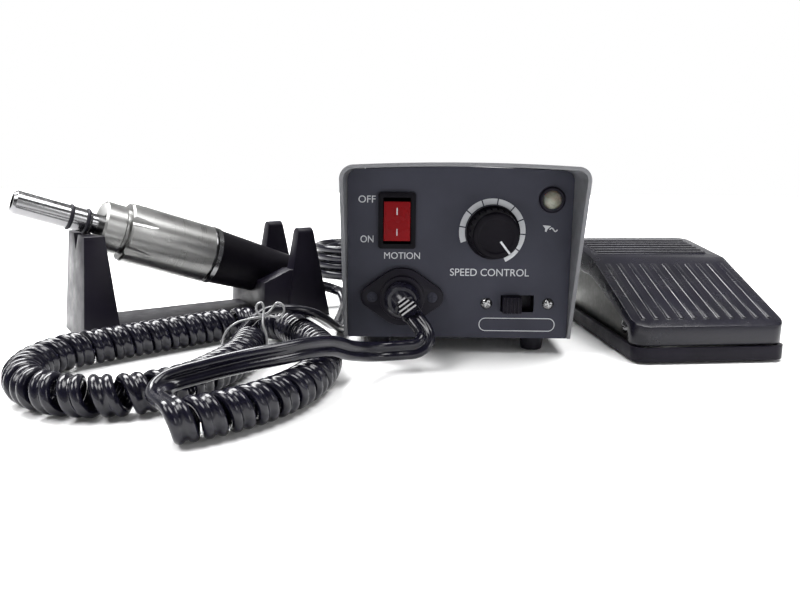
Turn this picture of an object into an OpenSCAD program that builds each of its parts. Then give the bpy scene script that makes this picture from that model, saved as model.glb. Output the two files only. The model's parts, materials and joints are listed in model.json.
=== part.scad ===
// Bench micromotor set: control box, motor handpiece in its cradle, curly motor cord,
// foot pedal and hanked mains lead. Millimetres, +Z up, the panel faces -Y.

/* [Control box] */
// Width over the cover
box_w = 100; // [92:1:130]
// Depth from the front panel's face to the back
box_d = 116; // [104:1:150]
// Height of the cover's sides, without the feet
box_h = 75; // [72:1:95]
// Rise of the crowned top over its flat chord
crown = 1.2; // [0.6:0.1:3]
// Fall of the cover's top towards the back, in degrees
top_fall = 1.7; // [0:0.1:3]
// Radius of the cover's top corners
corner_r = 6; // [4:0.5:10]
// Overhang of the cover's front edge over the panel at the top
visor = 25; // [10:1:32]
// Overhang of the cover's front edge at the bottom
visor_foot = 0.6; // [0.4:0.1:3]
// Sheet thickness of the cover
sheet = 1.6; // [1:0.1:2.2]
// Thickness of the front and rear panels
panel_t = 2; // [1.5:0.1:3]
// Sheet thickness of the base tray
tray_t = 1.2; // [0.8:0.1:2]
// Height of the tray's side flanges
flange_h = 11; // [9:0.5:16]
// Height of the rubber feet
foot_h = 7.5; // [5:0.5:12]
// Diameter of a foot at its top
foot_d = 11; // [8:0.5:14]
// Distance of each pair of feet from the panel and from the back
foot_inset = 12; // [9:1:25]
// Spacing of the feet across the box
foot_pitch = 70; // [50:1:76]

/* [Power switch] */
// Switch centre, sideways from the middle of the panel
switch_x = -27; // [-30:1:-20]
// Switch centre above the panel's bottom edge
switch_up = 51.5; // [48:0.5:54]
// Width of the rocker
rocker_w = 11.2; // [9:0.1:12]
// Height of each half of the rocker
rocker_half = 8.2; // [7:0.1:8.6]
// Angle that the rocker swings through
rocker_swing = 18; // [12:1:20]
// Width of the bezel
bezel_w = 16; // [15:0.5:18]
// Height of the bezel
bezel_h = 24; // [23:0.5:26]
// Thickness of the bezel
bezel_t = 2; // [1.5:0.1:2.4]

/* [Speed control] */
// Knob centre, sideways from the middle of the panel
knob_x = 14; // [10:1:18]
// Knob centre above the panel's bottom edge
knob_up = 47; // [44:0.5:50]
// Diameter of the knob at its skirt
knob_d = 23; // [20:0.5:26]
// Height of the knob
knob_h = 14; // [11:0.5:18]
// Number of flutes round the knob
knob_flutes = 24; // [16:1:30]
// Angle of the pointer, counted from the right
pointer_angle = -52; // [-66:1:201]
// Diameter of the control's shaft
pot_shaft_d = 6; // [5:0.1:6.4]

/* [Lamp, direction switch and motor socket] */
// Lamp centre, sideways from the middle of the panel
lamp_x = 39; // [35:1:40]
// Lamp centre below the top of the cover's sides
lamp_drop = 14; // [13:0.5:18]
// Diameter of the lamp's lens
lens_d = 8; // [6:0.2:9]
// Direction switch centre, sideways from the middle of the panel
slide_x = 26; // [22:1:28]
// Direction switch centre above the panel's bottom edge
slide_up = 15.5; // [13:0.5:18]
// Width of the slider's cap
slider_w = 8; // [6:0.2:9]
// Travel of the slider
slider_travel = 5.4; // [4:0.2:6]
// Spacing of the direction switch's two screws
slide_pitch = 27; // [26:0.5:30]
// Motor socket centre, sideways from the middle of the panel
socket_x = -24.5; // [-27:0.5:-22]
// Motor socket centre above the panel's bottom edge
socket_up = 18.5; // [16:0.5:20]
// Spacing of the motor socket's two screws
socket_pitch = 26; // [25:0.5:30]
// Radius of the flange round the motor socket
socket_r = 12.6; // [12:0.1:14]

/* [Handpiece] */
// Length of the nose from its tip to the collar
nose_l = 38; // [37:0.5:44]
// Diameter of the nose
nose_d = 11; // [10:0.1:12]
// Length of the front collar
collar_l = 10; // [8:0.5:12]
// Diameter of the front collar
collar_d = 24; // [22:0.5:26]
// Length of the motor sleeve
sleeve_l = 42; // [40:0.5:52]
// Diameter of the motor sleeve
sleeve_d = 29; // [28:0.5:31]
// Wall of the motor sleeve
sleeve_wall = 2.4; // [1.8:0.1:3]
// Length of the black tail
tail_l = 52; // [48:1:56]
// Diameter of the tail where the cord leaves it
tail_end_d = 20; // [16:0.5:22]
// Number of thumb flutes round the sleeve's front
sleeve_flutes = 6; // [4:1:8]
// Slope of the handpiece in its cradle, nose up
tilt = 19; // [17:0.1:20]

/* [Cradle] */
// Turn of the cradle and handpiece, seen from above
cradle_yaw = 34; // [28:1:40]
// Distance between the nose post and the fork, middle to middle
cradle_pitch = 104; // [100:1:110]
// Height of the nose post
post_h = 48.5; // [46:0.5:52]
// Height of the fork's prongs
fork_h = 47.5; // [44:0.5:56]
// Width between the fork's prongs where its slot begins
fork_slot = 28; // [26:0.5:32]
// Thickness of each prong at its foot, across the cradle
prong_t = 9.5; // [8:0.5:14]
// Thickness of each prong at its rounded tip
prong_tip = 6; // [4:0.5:8]
// Height of the base bar
bar_h = 6; // [5:0.5:6.5]
// Width of the base bar
bar_w = 30; // [24:1:40]

/* [Pedal] */
// Width of the pedal's base
pedal_w = 69; // [62:1:80]
// Length of the pedal's base
pedal_l = 104; // [98:1:120]
// Height of the pedal's base
pedal_base_h = 6; // [5:0.5:8]
// Radius of the base's corners
pedal_corner = 6; // [4:0.5:8]
// Height of the treadle's front edge
treadle_front = 16; // [14:0.5:22]
// Height of the treadle where its slope meets the heel
treadle_top = 37; // [34:0.5:44]
// Rise of the heel from there to its back edge
heel_rise = 4.5; // [0:0.5:8]
// Length of the treadle's slope
treadle_slope = 58; // [50:1:64]
// Wall of the treadle
treadle_wall = 2.2; // [1.6:0.1:3]
// Angle that the treadle swings through
treadle_swing = 6; // [3:0.5:7]
// Number of ribs along the slope
slope_ribs = 11; // [7:1:13]
// Number of ribs across the flat rear
rear_ribs = 6; // [4:1:8]
// Turn of the pedal, seen from above
pedal_yaw = 6; // [0:1:12]

/* [Cords] */
// Width of the flat twin motor cord
twin_w = 7.5; // [6.5:0.1:7.6]
// Thickness of the flat twin motor cord
twin_t = 3.8; // [3.2:0.1:4.2]
// Radius of the curls at the middle of the cord
curl_r = 5.5; // [5:0.1:5.6]
// Diameter of the mains lead
mains_d = 5; // [4:0.1:5.2]

/* [Hidden] */
$fn = 64;
fit_gap = 0.05;
free_gap = 0.3;
seat_gap = 0.02;
panel_gap = 0.2;
over = 1;

// Colours
grey_paint = "#66686d";
charcoal = "#3b3e43";
black_plastic = "#17181b";
black_rubber = "#101012";
red_plastic = "#c4202a";
bright_metal = "#c9cbcf";
satin_metal = "#b4b6ba";
zinc_metal = "#a9aaa6";

// Box levels
lamp_up = box_h - lamp_drop;
tray_w = box_w - 2 * sheet;
box_top = foot_h + box_h;
rear_h = box_h - box_d * tan(top_fall);
visor_lean = (visor - visor_foot) / (box_h + crown);

// Screws
screw_r = 1.5;
screw_l = 6;
screw_hole_r = 1.6;
cover_screw_y = [25, box_d - 21];
cover_screw_up = 6.5;

// Power switch: pivot behind the panel's face, well and body
rocker_pivot = 0.5;
rocker_front = 2.6;
rocker_pin_r = 1.2;
switch_wall = 0.8;
well_w = rocker_w + 2 * free_gap;
switch_w = well_w + 2 * switch_wall;
tip_out = rocker_front + rocker_half * tan(rocker_swing);
tip_r = norm([tip_out + rocker_pivot, rocker_half]);
tip_rest = atan2(tip_out + rocker_pivot, rocker_half);
well_half = max(tip_r * cos(tip_rest - rocker_swing), rocker_half) + free_gap;
switch_half = well_half + switch_wall;
switch_deep = 15;
well_deep = 11;

// Speed control
bush_r = pot_shaft_d / 2 + 0.5;
bush_out = 5.5;
nut_flats = 10;
nut_h = 2.2;
knob_clear = 1;
pot_r = 8.5;
pot_deep = 10;

// Direction switch
slider_h = 7;
slot_w = slider_w + slider_travel + 4 * free_gap;
slot_h = slider_h + 2 * free_gap;
slider_rest = -slider_travel / 2;
slide_bracket_t = 1;

// Motor socket and plug
socket_tip_r = 5;
socket_flange_t = 3;
socket_rim_r = 9.6;
socket_rim_out = 5.5;
socket_bore_r = 6.8;
socket_deep = 14;
plug_r = 7.6;
plug_out = 12;
boot_dir = [0.5, -0.55, 0.67];
boot_l = 10;
boot_r = 5;

// Handpiece stations along its axis from the tip
collar_z = nose_l;
groove_w = 1.6;
sleeve_z = collar_z + collar_l + groove_w;
ring_z = sleeve_z + sleeve_l;
ring_l = 4;
tail_z = ring_z + ring_l;
tail_end = tail_z + tail_l;
boot_z = tail_end - 3;
boot_len = 13;
cord_exit = boot_z + boot_len;
nose_r = nose_d / 2;
tip_chamfer = 1.2;
o_ring_z = [24.6, 32];
o_ring_r = 0.85;
neck_z = nose_l - 4;
neck_r = nose_r - 0.8;
shoulder_z = collar_z + 3;
shoulder_r = 8;
sleeve_r = sleeve_d / 2;
sleeve_bore = sleeve_r - sleeve_wall;
shaft_r = 1.6;
bearing_r = 6.5;
bearing_l = 5;
magnet_t = 2.4;
armature_r = sleeve_bore - magnet_t - 0.8;
motor_front = 9;
motor_rear = 10;
motor_z0 = sleeve_z + motor_front;
motor_z1 = ring_z - motor_rear;
tail_r0 = sleeve_r - 0.5;
tail_r1 = tail_end_d / 2 + 1.5;

// Cradle and handpiece places
post_x = -173;
post_y = 29;
post_len = [17, 9];
post_deep = [41, 34];
fork_len = [25, 8];
fork_deep = fork_slot + 2 * prong_t;
axis_up = 54.2;
tip_back = 30;
notch_r = nose_r + 0.75;
notch_half = 30;
fork_axis_up = axis_up - cradle_pitch * tan(tilt);
slot_up = fork_axis_up + 3;
relief_r = collar_d / 2 + 0.4;
relief_x = collar_z * cos(tilt) - tip_back - collar_d / 2 * sin(tilt) - 0.4;
relief_up = axis_up - post_len[0] / 2 * tan(tilt) - collar_d / 2 * (1 / cos(tilt) - 1);
gusset_x = [79, 80, 94];
gusset_up = [20.5, 26];
nose_tip = [
    post_x - tip_back * cos(cradle_yaw),
    post_y - tip_back * sin(cradle_yaw),
    axis_up + tip_back * tan(tilt)
];
hand_dir = [cos(cradle_yaw) * cos(tilt), sin(cradle_yaw) * cos(tilt), -sin(tilt)];

// Pedal places: local origin at the middle of the front edge, on the table
pedal_x = 109;
pedal_y = -11;
pad_h = 1;
base_top = pad_h + pedal_base_h;
treadle_in = 0.5;
treadle_w = pedal_w - 2 * treadle_in;
treadle_y = 1.5;
treadle_l = pedal_l - 2 * treadle_y;
treadle_gap = 0.6;
skirt_h = 5;
pivot_y = 23;
pivot_z = 11.5;
pivot_r = 2;
bracket_t = 1.5;
cheek_x = treadle_w / 2 - treadle_wall - 1.6;
lug_t = 3;
lug_r = 4.4;
slope_rise = treadle_top - treadle_front;
heel_l = treadle_l - treadle_slope;
function slope_at(y) = treadle_front + slope_rise * (y - treadle_y) / treadle_slope;
function heel_at(y) = treadle_top + heel_rise * (y - treadle_y - treadle_slope) / heel_l;
actuator_y = treadle_y + treadle_slope + 10;
actuator_foot = treadle_top - 12;

// The set's footprint, to put the origin in its middle
tip_rim = (nose_r - tip_chamfer) * sqrt(1 - hand_dir[0] * hand_dir[0]);
set_left = nose_tip[0] - tip_rim;
pedal_right = (pedal_w / 2 - pedal_corner) * cos(pedal_yaw) - pedal_corner * sin(pedal_yaw) + pedal_corner;
set_right = pedal_x + pedal_right;
pedal_near = pedal_y - (pedal_w / 2 - pedal_corner) * sin(pedal_yaw)
    - pedal_corner * (1 - cos(pedal_yaw));
visor_top = ((box_h + crown) / cos(top_fall) + visor_foot * tan(top_fall)) / (1 - visor_lean * tan(top_fall));
set_near = min(-visor_foot - visor_lean * visor_top, pedal_near);
fuse_out = 9;
set_far = box_d + fuse_out;
set_x = (set_left + set_right) / 2;
set_y = (set_near + set_far) / 2;

// Curly cord: [length, bend to the left, turns] of each stretch, from the plug's end
curl_start = [-95, -106];
curl_heading = 25;
curl_up = curl_r + twin_t / 2 + 0.2;
curl_rings = 8;
curl_run = [
    [36, 30, 4],
    [55, 45, 6.125],
    [24.4, 17.5, 2.75],
    [22, 0, 2.625],
    [40.1, 104.5, 3.375],
    [60, 0, 7.25],
    [127, 208, 12.75],
    [10, 0, 1.125],
    [27, 22, 3],
    [16, 0, 1.875]
];

// Smooth lead from the plug's boot to the curls, and from the curls to the handpiece
motor_lead_mid = [
    [-14.5, -23, 11],
    [-14, -22, 7],
    [-17.5, -17, 5.4],
    [-24, -15.5, 5.2],
    [-31, -19.5, 6],
    [-37.5, -28.5, 9],
    [-44, -43, 13],
    [-50.5, -55, 18],
    [-58, -65.5, 20],
    [-66.5, -73, 20],
    [-75.5, -78, 19.4],
    [-84.5, -80.5, 18],
    [-93, -82, 16],
    [-98.5, -86, 14.4],
    [-100.2, -92, 13.6]
];
hand_lead_mid = [
    [-74.5, -6, 17],
    [-67, -1, 18.8],
    [-60.5, 7, 16],
    [-56.5, 16, 10],
    [-55.2, 26, 5.4],
    [-54.8, 38, 4.4],
    [-54.6, 52, 4.3],
    [-54.4, 66, 4.3],
    [-54.2, 78, 4.3],
    [-53.8, 89, 4.6],
    [-55.5, 98, 6.2],
    [-61, 103.5, 9.8]
];
lead_twist = 90;

// Mains lead, from the gland to the hank, and the hank's own loops
gland_x = 36;
gland_up = 14;
gland_out = 24;
gland_r = 4;
hank_x = -24;
hank_y = 205;
hank_run = 75;
hank_fold = 16;
hank_step = mains_d + 0.7;
hank_layers = 4;
layer_turns = 1.45;
hank_waist = 9;
hank_up = mains_d / 2 + 0.1;
hank_rings = 24;
hank_out = hank_fold + hank_step * layer_turns;
mains_mid = [
    [36, 152, 20.2],
    [35.8, 159, 16.2],
    [34.8, 165.5, 11],
    [32.4, 171.8, 6.6],
    [28.5, 176.6, 3.9],
    [23.6, 179.8, 2.8]
];
hank_tail = [
    [16, 0, -1.2],
    [30, -2, -6],
    [42, -7, -12],
    [52, -15, -15.6],
    [58, -25, -16.7],
    [60, -36, -16.7]
];

// Placing

module in_set() {
    translate([-set_x, -set_y, 0]) children();
}

// Lifts a flat outline given in x and z to a slab between two depths
module along_y(y0, y1) {
    translate([0, y1, 0]) rotate([90, 0, 0]) linear_extrude(y1 - y0) children();
}

// Lifts a flat outline given in y and z to a slab between two places along x
module along_x(x0, x1) {
    translate([x0, 0, 0]) rotate([90, 0, 90]) linear_extrude(x1 - x0) children();
}

// Panel fittings: local z points at the user, local y up, local z = 0 on the panel's face
module on_panel(x, up) {
    in_set() translate([x, 0, foot_h + up]) rotate([90, 0, 0]) children();
}

// Rear fittings: local z points out of the back, local y up
module on_rear(x, up) {
    in_set() translate([x, box_d, foot_h + up]) rotate([90, 0, 180]) children();
}

// Handpiece: local z runs along its axis from the tip to the tail
module in_hand() {
    in_set() translate(nose_tip) rotate([0, 90 + tilt, cradle_yaw]) children();
}

module in_cradle() {
    in_set() translate([post_x, post_y, 0]) rotate([0, 0, cradle_yaw]) children();
}

module in_pedal() {
    in_set() translate([pedal_x, pedal_y, 0]) rotate([0, 0, pedal_yaw]) children();
}

// Shared shapes

module tube(r_out, r_in, z0, z1) {
    translate([0, 0, z0]) difference() {
        cylinder(r = r_out, h = z1 - z0);
        translate([0, 0, -over]) cylinder(r = r_in, h = z1 - z0 + 2 * over);
    }
}

module rod(r, z0, z1) {
    translate([0, 0, z0]) cylinder(r = r, h = z1 - z0);
}

module slab(w, h, z0, z1) {
    translate([-w / 2, -h / 2, z0]) cube([w, h, z1 - z0]);
}

module rounded_slab(w, l, r, z0, z1) {
    translate([0, 0, z0]) linear_extrude(z1 - z0) {
        square([w - 2 * r, l], center = true);
        square([w, l - 2 * r], center = true);
        for (sx = [-1, 1], sy = [-1, 1])
            translate([sx * (w / 2 - r), sy * (l / 2 - r)]) circle(r);
    }
}

// Domed screw: head above z = 0, shank below it, cross recess in the head
module screw(head_r, head_h, shank_r, shank_l) {
    ball = (head_r * head_r + head_h * head_h) / (2 * head_h);
    difference() {
        union() {
            intersection() {
                translate([0, 0, head_h - ball]) sphere(ball);
                cylinder(r = head_r + over, h = head_h + over);
            }
            translate([0, 0, -shank_l]) cylinder(r = shank_r, h = shank_l + head_h / 2);
        }
        for (a = [0, 90])
            rotate([0, 0, a]) slab(head_r * 1.3, head_r * 0.26, head_h * 0.45, head_h + over);
    }
}

// Sweeps

function unit(v) = v / norm(v);
function last(v) = v[len(v) - 1];
function tangents(p) = [for (i = [0 : len(p) - 1]) unit(p[min(i + 1, len(p) - 1)] - p[max(i - 1, 0)])];
function square_to(w, t) = unit(w - (w * t) * t);
function carried(t, w0) = [
    for (i = 0, w = square_to(w0, t[0]); i < len(t);
         i = i + 1, w = i < len(t) ? square_to(w, t[i]) : w) w];
function turned(w, t, a) = w * cos(a) + cross(t, w) * sin(a);

// Outline of the flat twin cord: two round lobes and a waist, wide way first
twin_waist = 0.3 * twin_t;
twin_outline = [
    [twin_w / 2, 0], [twin_w / 4, twin_t / 2], [0, twin_waist], [-twin_w / 4, twin_t / 2],
    [-twin_w / 2, 0], [-twin_w / 4, -twin_t / 2], [0, -twin_waist], [twin_w / 4, -twin_t / 2]
];
function round_outline(r, n) = [for (k = [0 : n - 1]) r * [cos(360 * k / n), sin(360 * k / n)]];
twin_cap = [[0, 1, 2], [0, 2, 6], [0, 6, 7], [4, 5, 6], [4, 6, 2], [4, 2, 3]];
function fan_cap(n) = [for (k = [1 : n - 2]) [0, k, k + 1]];

// One closed tube through the ring centres p, wide way w at each ring
module sweep(p, t, w, outline, cap) {
    n = len(outline);
    m = len(p);
    points = [for (i = [0 : m - 1], q = outline) p[i] + q[0] * w[i] + q[1] * cross(t[i], w[i])];
    sides = [for (i = [0 : m - 2], k = [0 : n - 1])
        let (a = i * n + k, b = i * n + (k + 1) % n)
        each [[a, a + n, b + n], [a, b + n, b]]];
    far_cap = [for (c = cap) [(m - 1) * n + c[0], (m - 1) * n + c[2], (m - 1) * n + c[1]]];
    polyhedron(points = points, faces = concat(cap, sides, far_cap), convexity = 10);
}

module round_sweep(p, d, sides_n, t0, t1) {
    t = end_tangents(p, t0, t1);
    sweep(p, t, carried(t, [0, 0.3, 1]), round_outline(d / 2, sides_n), fan_cap(sides_n));
}

// Curly cord's middle line: places of the stretches, then the helix round them
function stretch_end(s, p, h) = let (b = s[1], r = b == 0 ? 0 : s[0] * 180 / (b * PI))
    b == 0 ? p + s[0] * [cos(h), sin(h)] : p + r * [sin(h + b) - sin(h), cos(h) - cos(h + b)];
curl_places = [
    for (i = 0, p = curl_start, h = curl_heading, n = 0; i <= len(curl_run);
         p = i < len(curl_run) ? stretch_end(curl_run[i], p, h) : p,
         h = i < len(curl_run) ? h + curl_run[i][1] : h,
         n = i < len(curl_run) ? n + curl_run[i][2] : n,
         i = i + 1) [p, h, n]];
curl_turns = last(curl_places)[2];
function curl_part(n) = max([for (i = [0 : len(curl_run) - 1]) if (curl_places[i][2] <= n) i]);
function curl_spot(n) = let (
        i = curl_part(n),
        f = (n - curl_places[i][2]) / curl_run[i][2],
        s = [curl_run[i][0] * f, curl_run[i][1] * f]
    ) [stretch_end(s, curl_places[i][0], curl_places[i][1]), curl_places[i][1] + s[1]];
curl_phase = 90;
function curl_radial(n) = let (h = curl_spot(n)[1], a = curl_phase + 360 * n)
    [-sin(h) * cos(a), cos(h) * cos(a), sin(a)];
function curl_point(n) = let (q = curl_spot(n)[0])
    [q[0], q[1], curl_up] + curl_r * curl_radial(n);
curl_steps = round(curl_turns * curl_rings);
curl_at = [for (i = [0 : curl_steps]) i / curl_rings];
curl_small = 0.002;
function curl_tangent(n) =
    unit(curl_point(min(n + curl_small, curl_turns)) - curl_point(max(n - curl_small, 0)));
curl_first = curl_point(0) - twin_w * curl_tangent(0);
curl_final = curl_point(curl_turns) + twin_w * curl_tangent(curl_turns);
curl_p = concat([curl_first], [for (n = curl_at) curl_point(n)], [curl_final]);
curl_n = concat([0], curl_at, [curl_turns]);
curl_t = [for (n = curl_n) curl_tangent(n)];
curl_w = [for (n = curl_n) square_to(cross(curl_tangent(n), curl_radial(n)), curl_tangent(n))];

// Least gap of the curls to themselves: edges of the flat cord on rings of later turns
curl_edges = [for (s = [0, 4]) [for (i = [1 : curl_steps + 1]) curl_p[i] + twin_outline[s][0] * curl_w[i]]];
function apart(p, a, b) =
    let (f = (p - a) * (b - a) / ((b - a) * (b - a))) norm(p - a - min(max(f, 0), 1) * (b - a));
curl_gap = min([for (s = [0, 1], i = [0 : curl_steps - curl_rings])
    for (j = [i + curl_rings - 3 : min(i + curl_rings + 2, curl_steps - 1)])
        apart(curl_edges[s][i], curl_edges[1 - s][j], curl_edges[1 - s][j + 1])]);

// Smooth leads, with a straight end one cord width long
boot_unit = unit(boot_dir);
boot_foot = [socket_x, -plug_out + 2, foot_h + socket_up];
boot_world = [boot_unit[0], -boot_unit[2], boot_unit[1]];
boot_end = boot_foot + boot_l * boot_world;
motor_lead_p = concat([boot_end, boot_end + twin_w * boot_world], motor_lead_mid, [curl_first]);
hand_end = nose_tip + cord_exit * hand_dir;
hand_lead_p = concat([curl_final], hand_lead_mid, [hand_end + twin_w * hand_dir, hand_end]);
function end_tangents(p, t0, t1) = let (t = tangents(p), m = len(p) - 1)
    [for (i = [0 : m]) i == 0 && t0 ? t0 : i == m && t1 ? t1 : t[i]];
function eased(i, m) = let (f = i / m) f * f * (3 - 2 * f);

// Hank's middle line: flat loops with round ends, spiralling in and out layer by layer
hank_turns = hank_layers * layer_turns;
hank_steps = round(hank_turns * hank_rings);
function hank_radius(n) = let (k = floor(n / layer_turns), f = n / layer_turns - k)
    hank_out - hank_step * layer_turns * (k % 2 == 0 ? f : 1 - f);
function hank_level(n) = let (k = round(n / layer_turns), d = n - k * layer_turns)
    k == 0 || k == hank_layers ? max(k - 1, 0)
    : abs(d) >= 0.25 ? (d < 0 ? k - 1 : k) : k - 0.5 + 2 * d;
function hank_flat(n) = let (
        f = n - floor(n),
        r = hank_radius(n),
        arc = PI * hank_fold,
        per = 2 * (hank_run + arc),
        s = f * per,
        draw = function(x) hank_waist * pow(cos(180 * x / hank_run), 2)
    )
    s < hank_run ? let (x = s - hank_run / 2) [x, -r + draw(x)]
    : s < hank_run + arc ? let (a = (s - hank_run) / arc * 180 - 90) [hank_run / 2 + r * cos(a), r * sin(a)]
    : s < 2 * hank_run + arc ? let (x = hank_run / 2 - (s - hank_run - arc)) [x, r - draw(x)]
    : let (a = (s - 2 * hank_run - arc) / arc * 180 + 90) [-hank_run / 2 + r * cos(a), r * sin(a)];
function hank_point(n) = let (q = hank_flat(n))
    [hank_x - q[0], hank_y + q[1], hank_up + hank_step * hank_level(n)];
hank_loops = [for (i = [0 : hank_steps]) hank_point(i / hank_rings)];
hank_gap = min([for (i = [0 : hank_steps - hank_rings / 2], j = [i + hank_rings / 2 : hank_steps])
    norm(hank_loops[i] - hank_loops[j])]) - mains_d;
hank_leave = hank_point(hank_turns);
hank_start = hank_point(0) + [mains_d, 0, 0];
hank_tail_p = [for (q = hank_tail) hank_leave + q];
plug_at = last(hank_tail_p);
plug_dir = unit(plug_at - hank_tail_p[len(hank_tail) - 2]);
hank_p = concat([hank_start], hank_loops, hank_tail_p, [plug_at + mains_d * plug_dir]);
gland_end = [gland_x, box_d + gland_out, foot_h + gland_up];
mains_p = concat([gland_end, gland_end + [0, mains_d, 0]], mains_mid, [hank_start]);

echo(curly_cord_least_gap_mm = curl_gap, curls = curl_turns, hank_least_gap_mm = hank_gap);

// Control box

module arch(w, h, r) {
    chord = w - 2 * r;
    ball = (chord * chord / 4 + crown * crown) / (2 * crown);
    translate([-w / 2, 0]) square([w, h - r]);
    translate([-chord / 2, 0]) square([chord, h]);
    for (s = [-1, 1]) translate([s * chord / 2, h - r]) circle(r);
    intersection() {
        translate([0, h + crown - ball]) circle(ball, $fn = 720);
        translate([-chord / 2, h - crown]) square([chord, 3 * crown]);
    }
}

module at_cover_screws() {
    for (s = [-1, 1], y = cover_screw_y)
        translate([s * box_w / 2, y, foot_h + cover_screw_up]) rotate([0, s * 90, 0]) children();
}

// Long bar of the arch outline, leaning back by the fall of the top
module leaning_arch(w, h, r) {
    deep = 12;
    translate([0, 0, foot_h]) rotate([-top_fall, 0, 0])
        along_y(-3 * visor, 2 * box_d) translate([0, -deep]) arch(w, h + deep, r);
}

module top_cover() {
    reach = 2 * box_h;
    in_set() color(grey_paint) difference() {
        intersection() {
            leaning_arch(box_w, box_h, corner_r);
            along_x(-box_w, box_w) polygon([
                [-visor_foot, foot_h], [box_d, foot_h], [box_d, foot_h + reach],
                [-visor_foot - visor_lean * reach, foot_h + reach]
            ]);
        }
        leaning_arch(tray_w, box_h - sheet, corner_r - sheet);
        at_cover_screws() rod(screw_hole_r, -sheet - over, over);
    }
}

module base_tray() {
    in_set() color(charcoal) difference() {
        translate([0, 0, foot_h]) along_y(panel_t, box_d - panel_t) difference() {
            translate([-tray_w / 2, 0]) square([tray_w, flange_h]);
            translate([-tray_w / 2 + tray_t, tray_t]) square([tray_w - 2 * tray_t, flange_h]);
        }
        at_cover_screws() rod(screw_hole_r, -sheet - tray_t - over, -sheet + over);
    }
}

module panel_blank(h) {
    arch(tray_w - 2 * panel_gap, h - sheet - panel_gap, corner_r - sheet - panel_gap);
}

module front_panel() {
    color(charcoal) difference() {
        in_set() translate([0, 0, foot_h]) along_y(0, panel_t) panel_blank(box_h - panel_t * tan(top_fall));
        on_panel(switch_x, switch_up)
            slab(switch_w + 2 * panel_gap, 2 * switch_half + 2 * panel_gap, -panel_t - over, over);
        on_panel(knob_x, knob_up) rod(bush_r + 0.1, -panel_t - over, over);
        on_panel(lamp_x, lamp_up) rod(lens_d / 2 + 0.8, -panel_t - over, over);
        on_panel(slide_x, slide_up) {
            slab(slot_w, slot_h, -panel_t - over, over);
            for (s = [-1, 1]) translate([s * slide_pitch / 2, 0, 0]) rod(screw_hole_r, -panel_t - over, over);
        }
        on_panel(socket_x, socket_up) {
            rod(socket_rim_r, -panel_t - over, over);
            for (s = [-1, 1]) translate([s * socket_pitch / 2, 0, 0])
                rod(screw_hole_r, -panel_t - over, over);
        }
    }
}

fuse_x = 6;
jack_x = -38;
jack_up = 26;
fuse_r = 6;
fuse_deep = 14;
jack_r = 4;
jack_deep = 14;
jack_bore_r = 1.8;
jack_out = 4;
vent_n = 9;
vent_w = 2.4;
vent_h = 24;
vent_pitch = 7;

module rear_panel() {
    color(charcoal) difference() {
        in_set() translate([0, 0, foot_h]) along_y(box_d - panel_t, box_d) panel_blank(rear_h);
        on_rear(gland_x, gland_up) rod(gland_r + 1, -panel_t - over, over);
        on_rear(fuse_x, gland_up) rod(fuse_r, -panel_t - over, over);
        on_rear(jack_x, jack_up) rod(jack_r, -panel_t - over, over);
        for (i = [0 : vent_n - 1])
            on_rear((i - (vent_n - 1) / 2) * vent_pitch, box_h * 0.62)
                slab(vent_w, vent_h, -panel_t - over, over);
    }
}

module box_feet() {
    in_set() color(black_rubber)
        for (s = [-1, 1], y = [foot_inset, box_d - foot_inset])
            translate([s * foot_pitch / 2, y, 0]) difference() {
                cylinder(r1 = foot_d / 2 - 0.8, r2 = foot_d / 2, h = foot_h);
                translate([0, 0, -over]) cylinder(r = foot_d / 4, h = foot_h * 0.4 + over);
            }
}

cover_head_r = 2.8;
cover_head_h = 1.6;

module cover_screws() {
    in_set() color(bright_metal) at_cover_screws() screw(cover_head_r, cover_head_h, screw_r, screw_l);
}

blade_pitch = 10;
blade_w = 4.8;
blade_t = 0.8;
blade_l = 8;

module power_switch_body() {
    color(black_plastic) on_panel(switch_x, switch_up) difference() {
        union() {
            rounded_slab(bezel_w, bezel_h, 1.2, 0, bezel_t);
            slab(switch_w, 2 * switch_half, -switch_deep, over);
            for (s = [-1, 1]) translate([0, s * blade_pitch / 2, 0])
                slab(blade_w, blade_t, -switch_deep - blade_l, -switch_deep + over);
        }
        slab(well_w, 2 * well_half, -well_deep, bezel_t + over);
        rotate([0, 90, 0]) translate([rocker_pivot, 0, -switch_w])
            cylinder(r = rocker_pin_r + fit_gap, h = 2 * switch_w);
    }
}

// Shown with its upper half pressed: local x is depth behind the panel, local y up
module power_rocker() {
    back = 5;
    color(red_plastic) on_panel(switch_x, switch_up) {
        rotate([0, 90, 0]) {
            translate([0, 0, -rocker_w / 2]) linear_extrude(rocker_w) polygon([
                [-rocker_front, rocker_half], [-rocker_front, 0], [-tip_out, -rocker_half],
                [back - 3, -rocker_half + 1.6], [back, -rocker_half / 2],
                [back, rocker_half / 2], [back - 2, rocker_half - 0.6]
            ]);
            translate([rocker_pivot, 0, -rocker_w / 2 - 0.7]) cylinder(r = rocker_pin_r, h = rocker_w + 1.4);
        }
    }
}

module speed_pot() {
    color(zinc_metal) on_panel(knob_x, knob_up) difference() {
        union() {
            rod(pot_r, -panel_t - pot_deep, -panel_t);
            rod(bush_r, -panel_t - over, bush_out);
            for (x = [-5, 0, 5]) translate([x, -pot_r, 0]) slab(1.2, 10, -panel_t - 5, -panel_t - 4);
        }
        rod(pot_shaft_d / 2 + fit_gap, -panel_t - pot_deep + 3, bush_out + over);
    }
}

module pot_nut() {
    color(bright_metal) on_panel(knob_x, knob_up) difference() {
        cylinder(r = nut_flats / sqrt(3), h = nut_h, $fn = 6);
        rod(bush_r + seat_gap, -over, nut_h + over);
    }
}

module pot_shaft() {
    color(bright_metal) on_panel(knob_x, knob_up)
        rod(pot_shaft_d / 2, -panel_t - pot_deep + 3.3, knob_clear + knob_h - 3);
}

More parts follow.
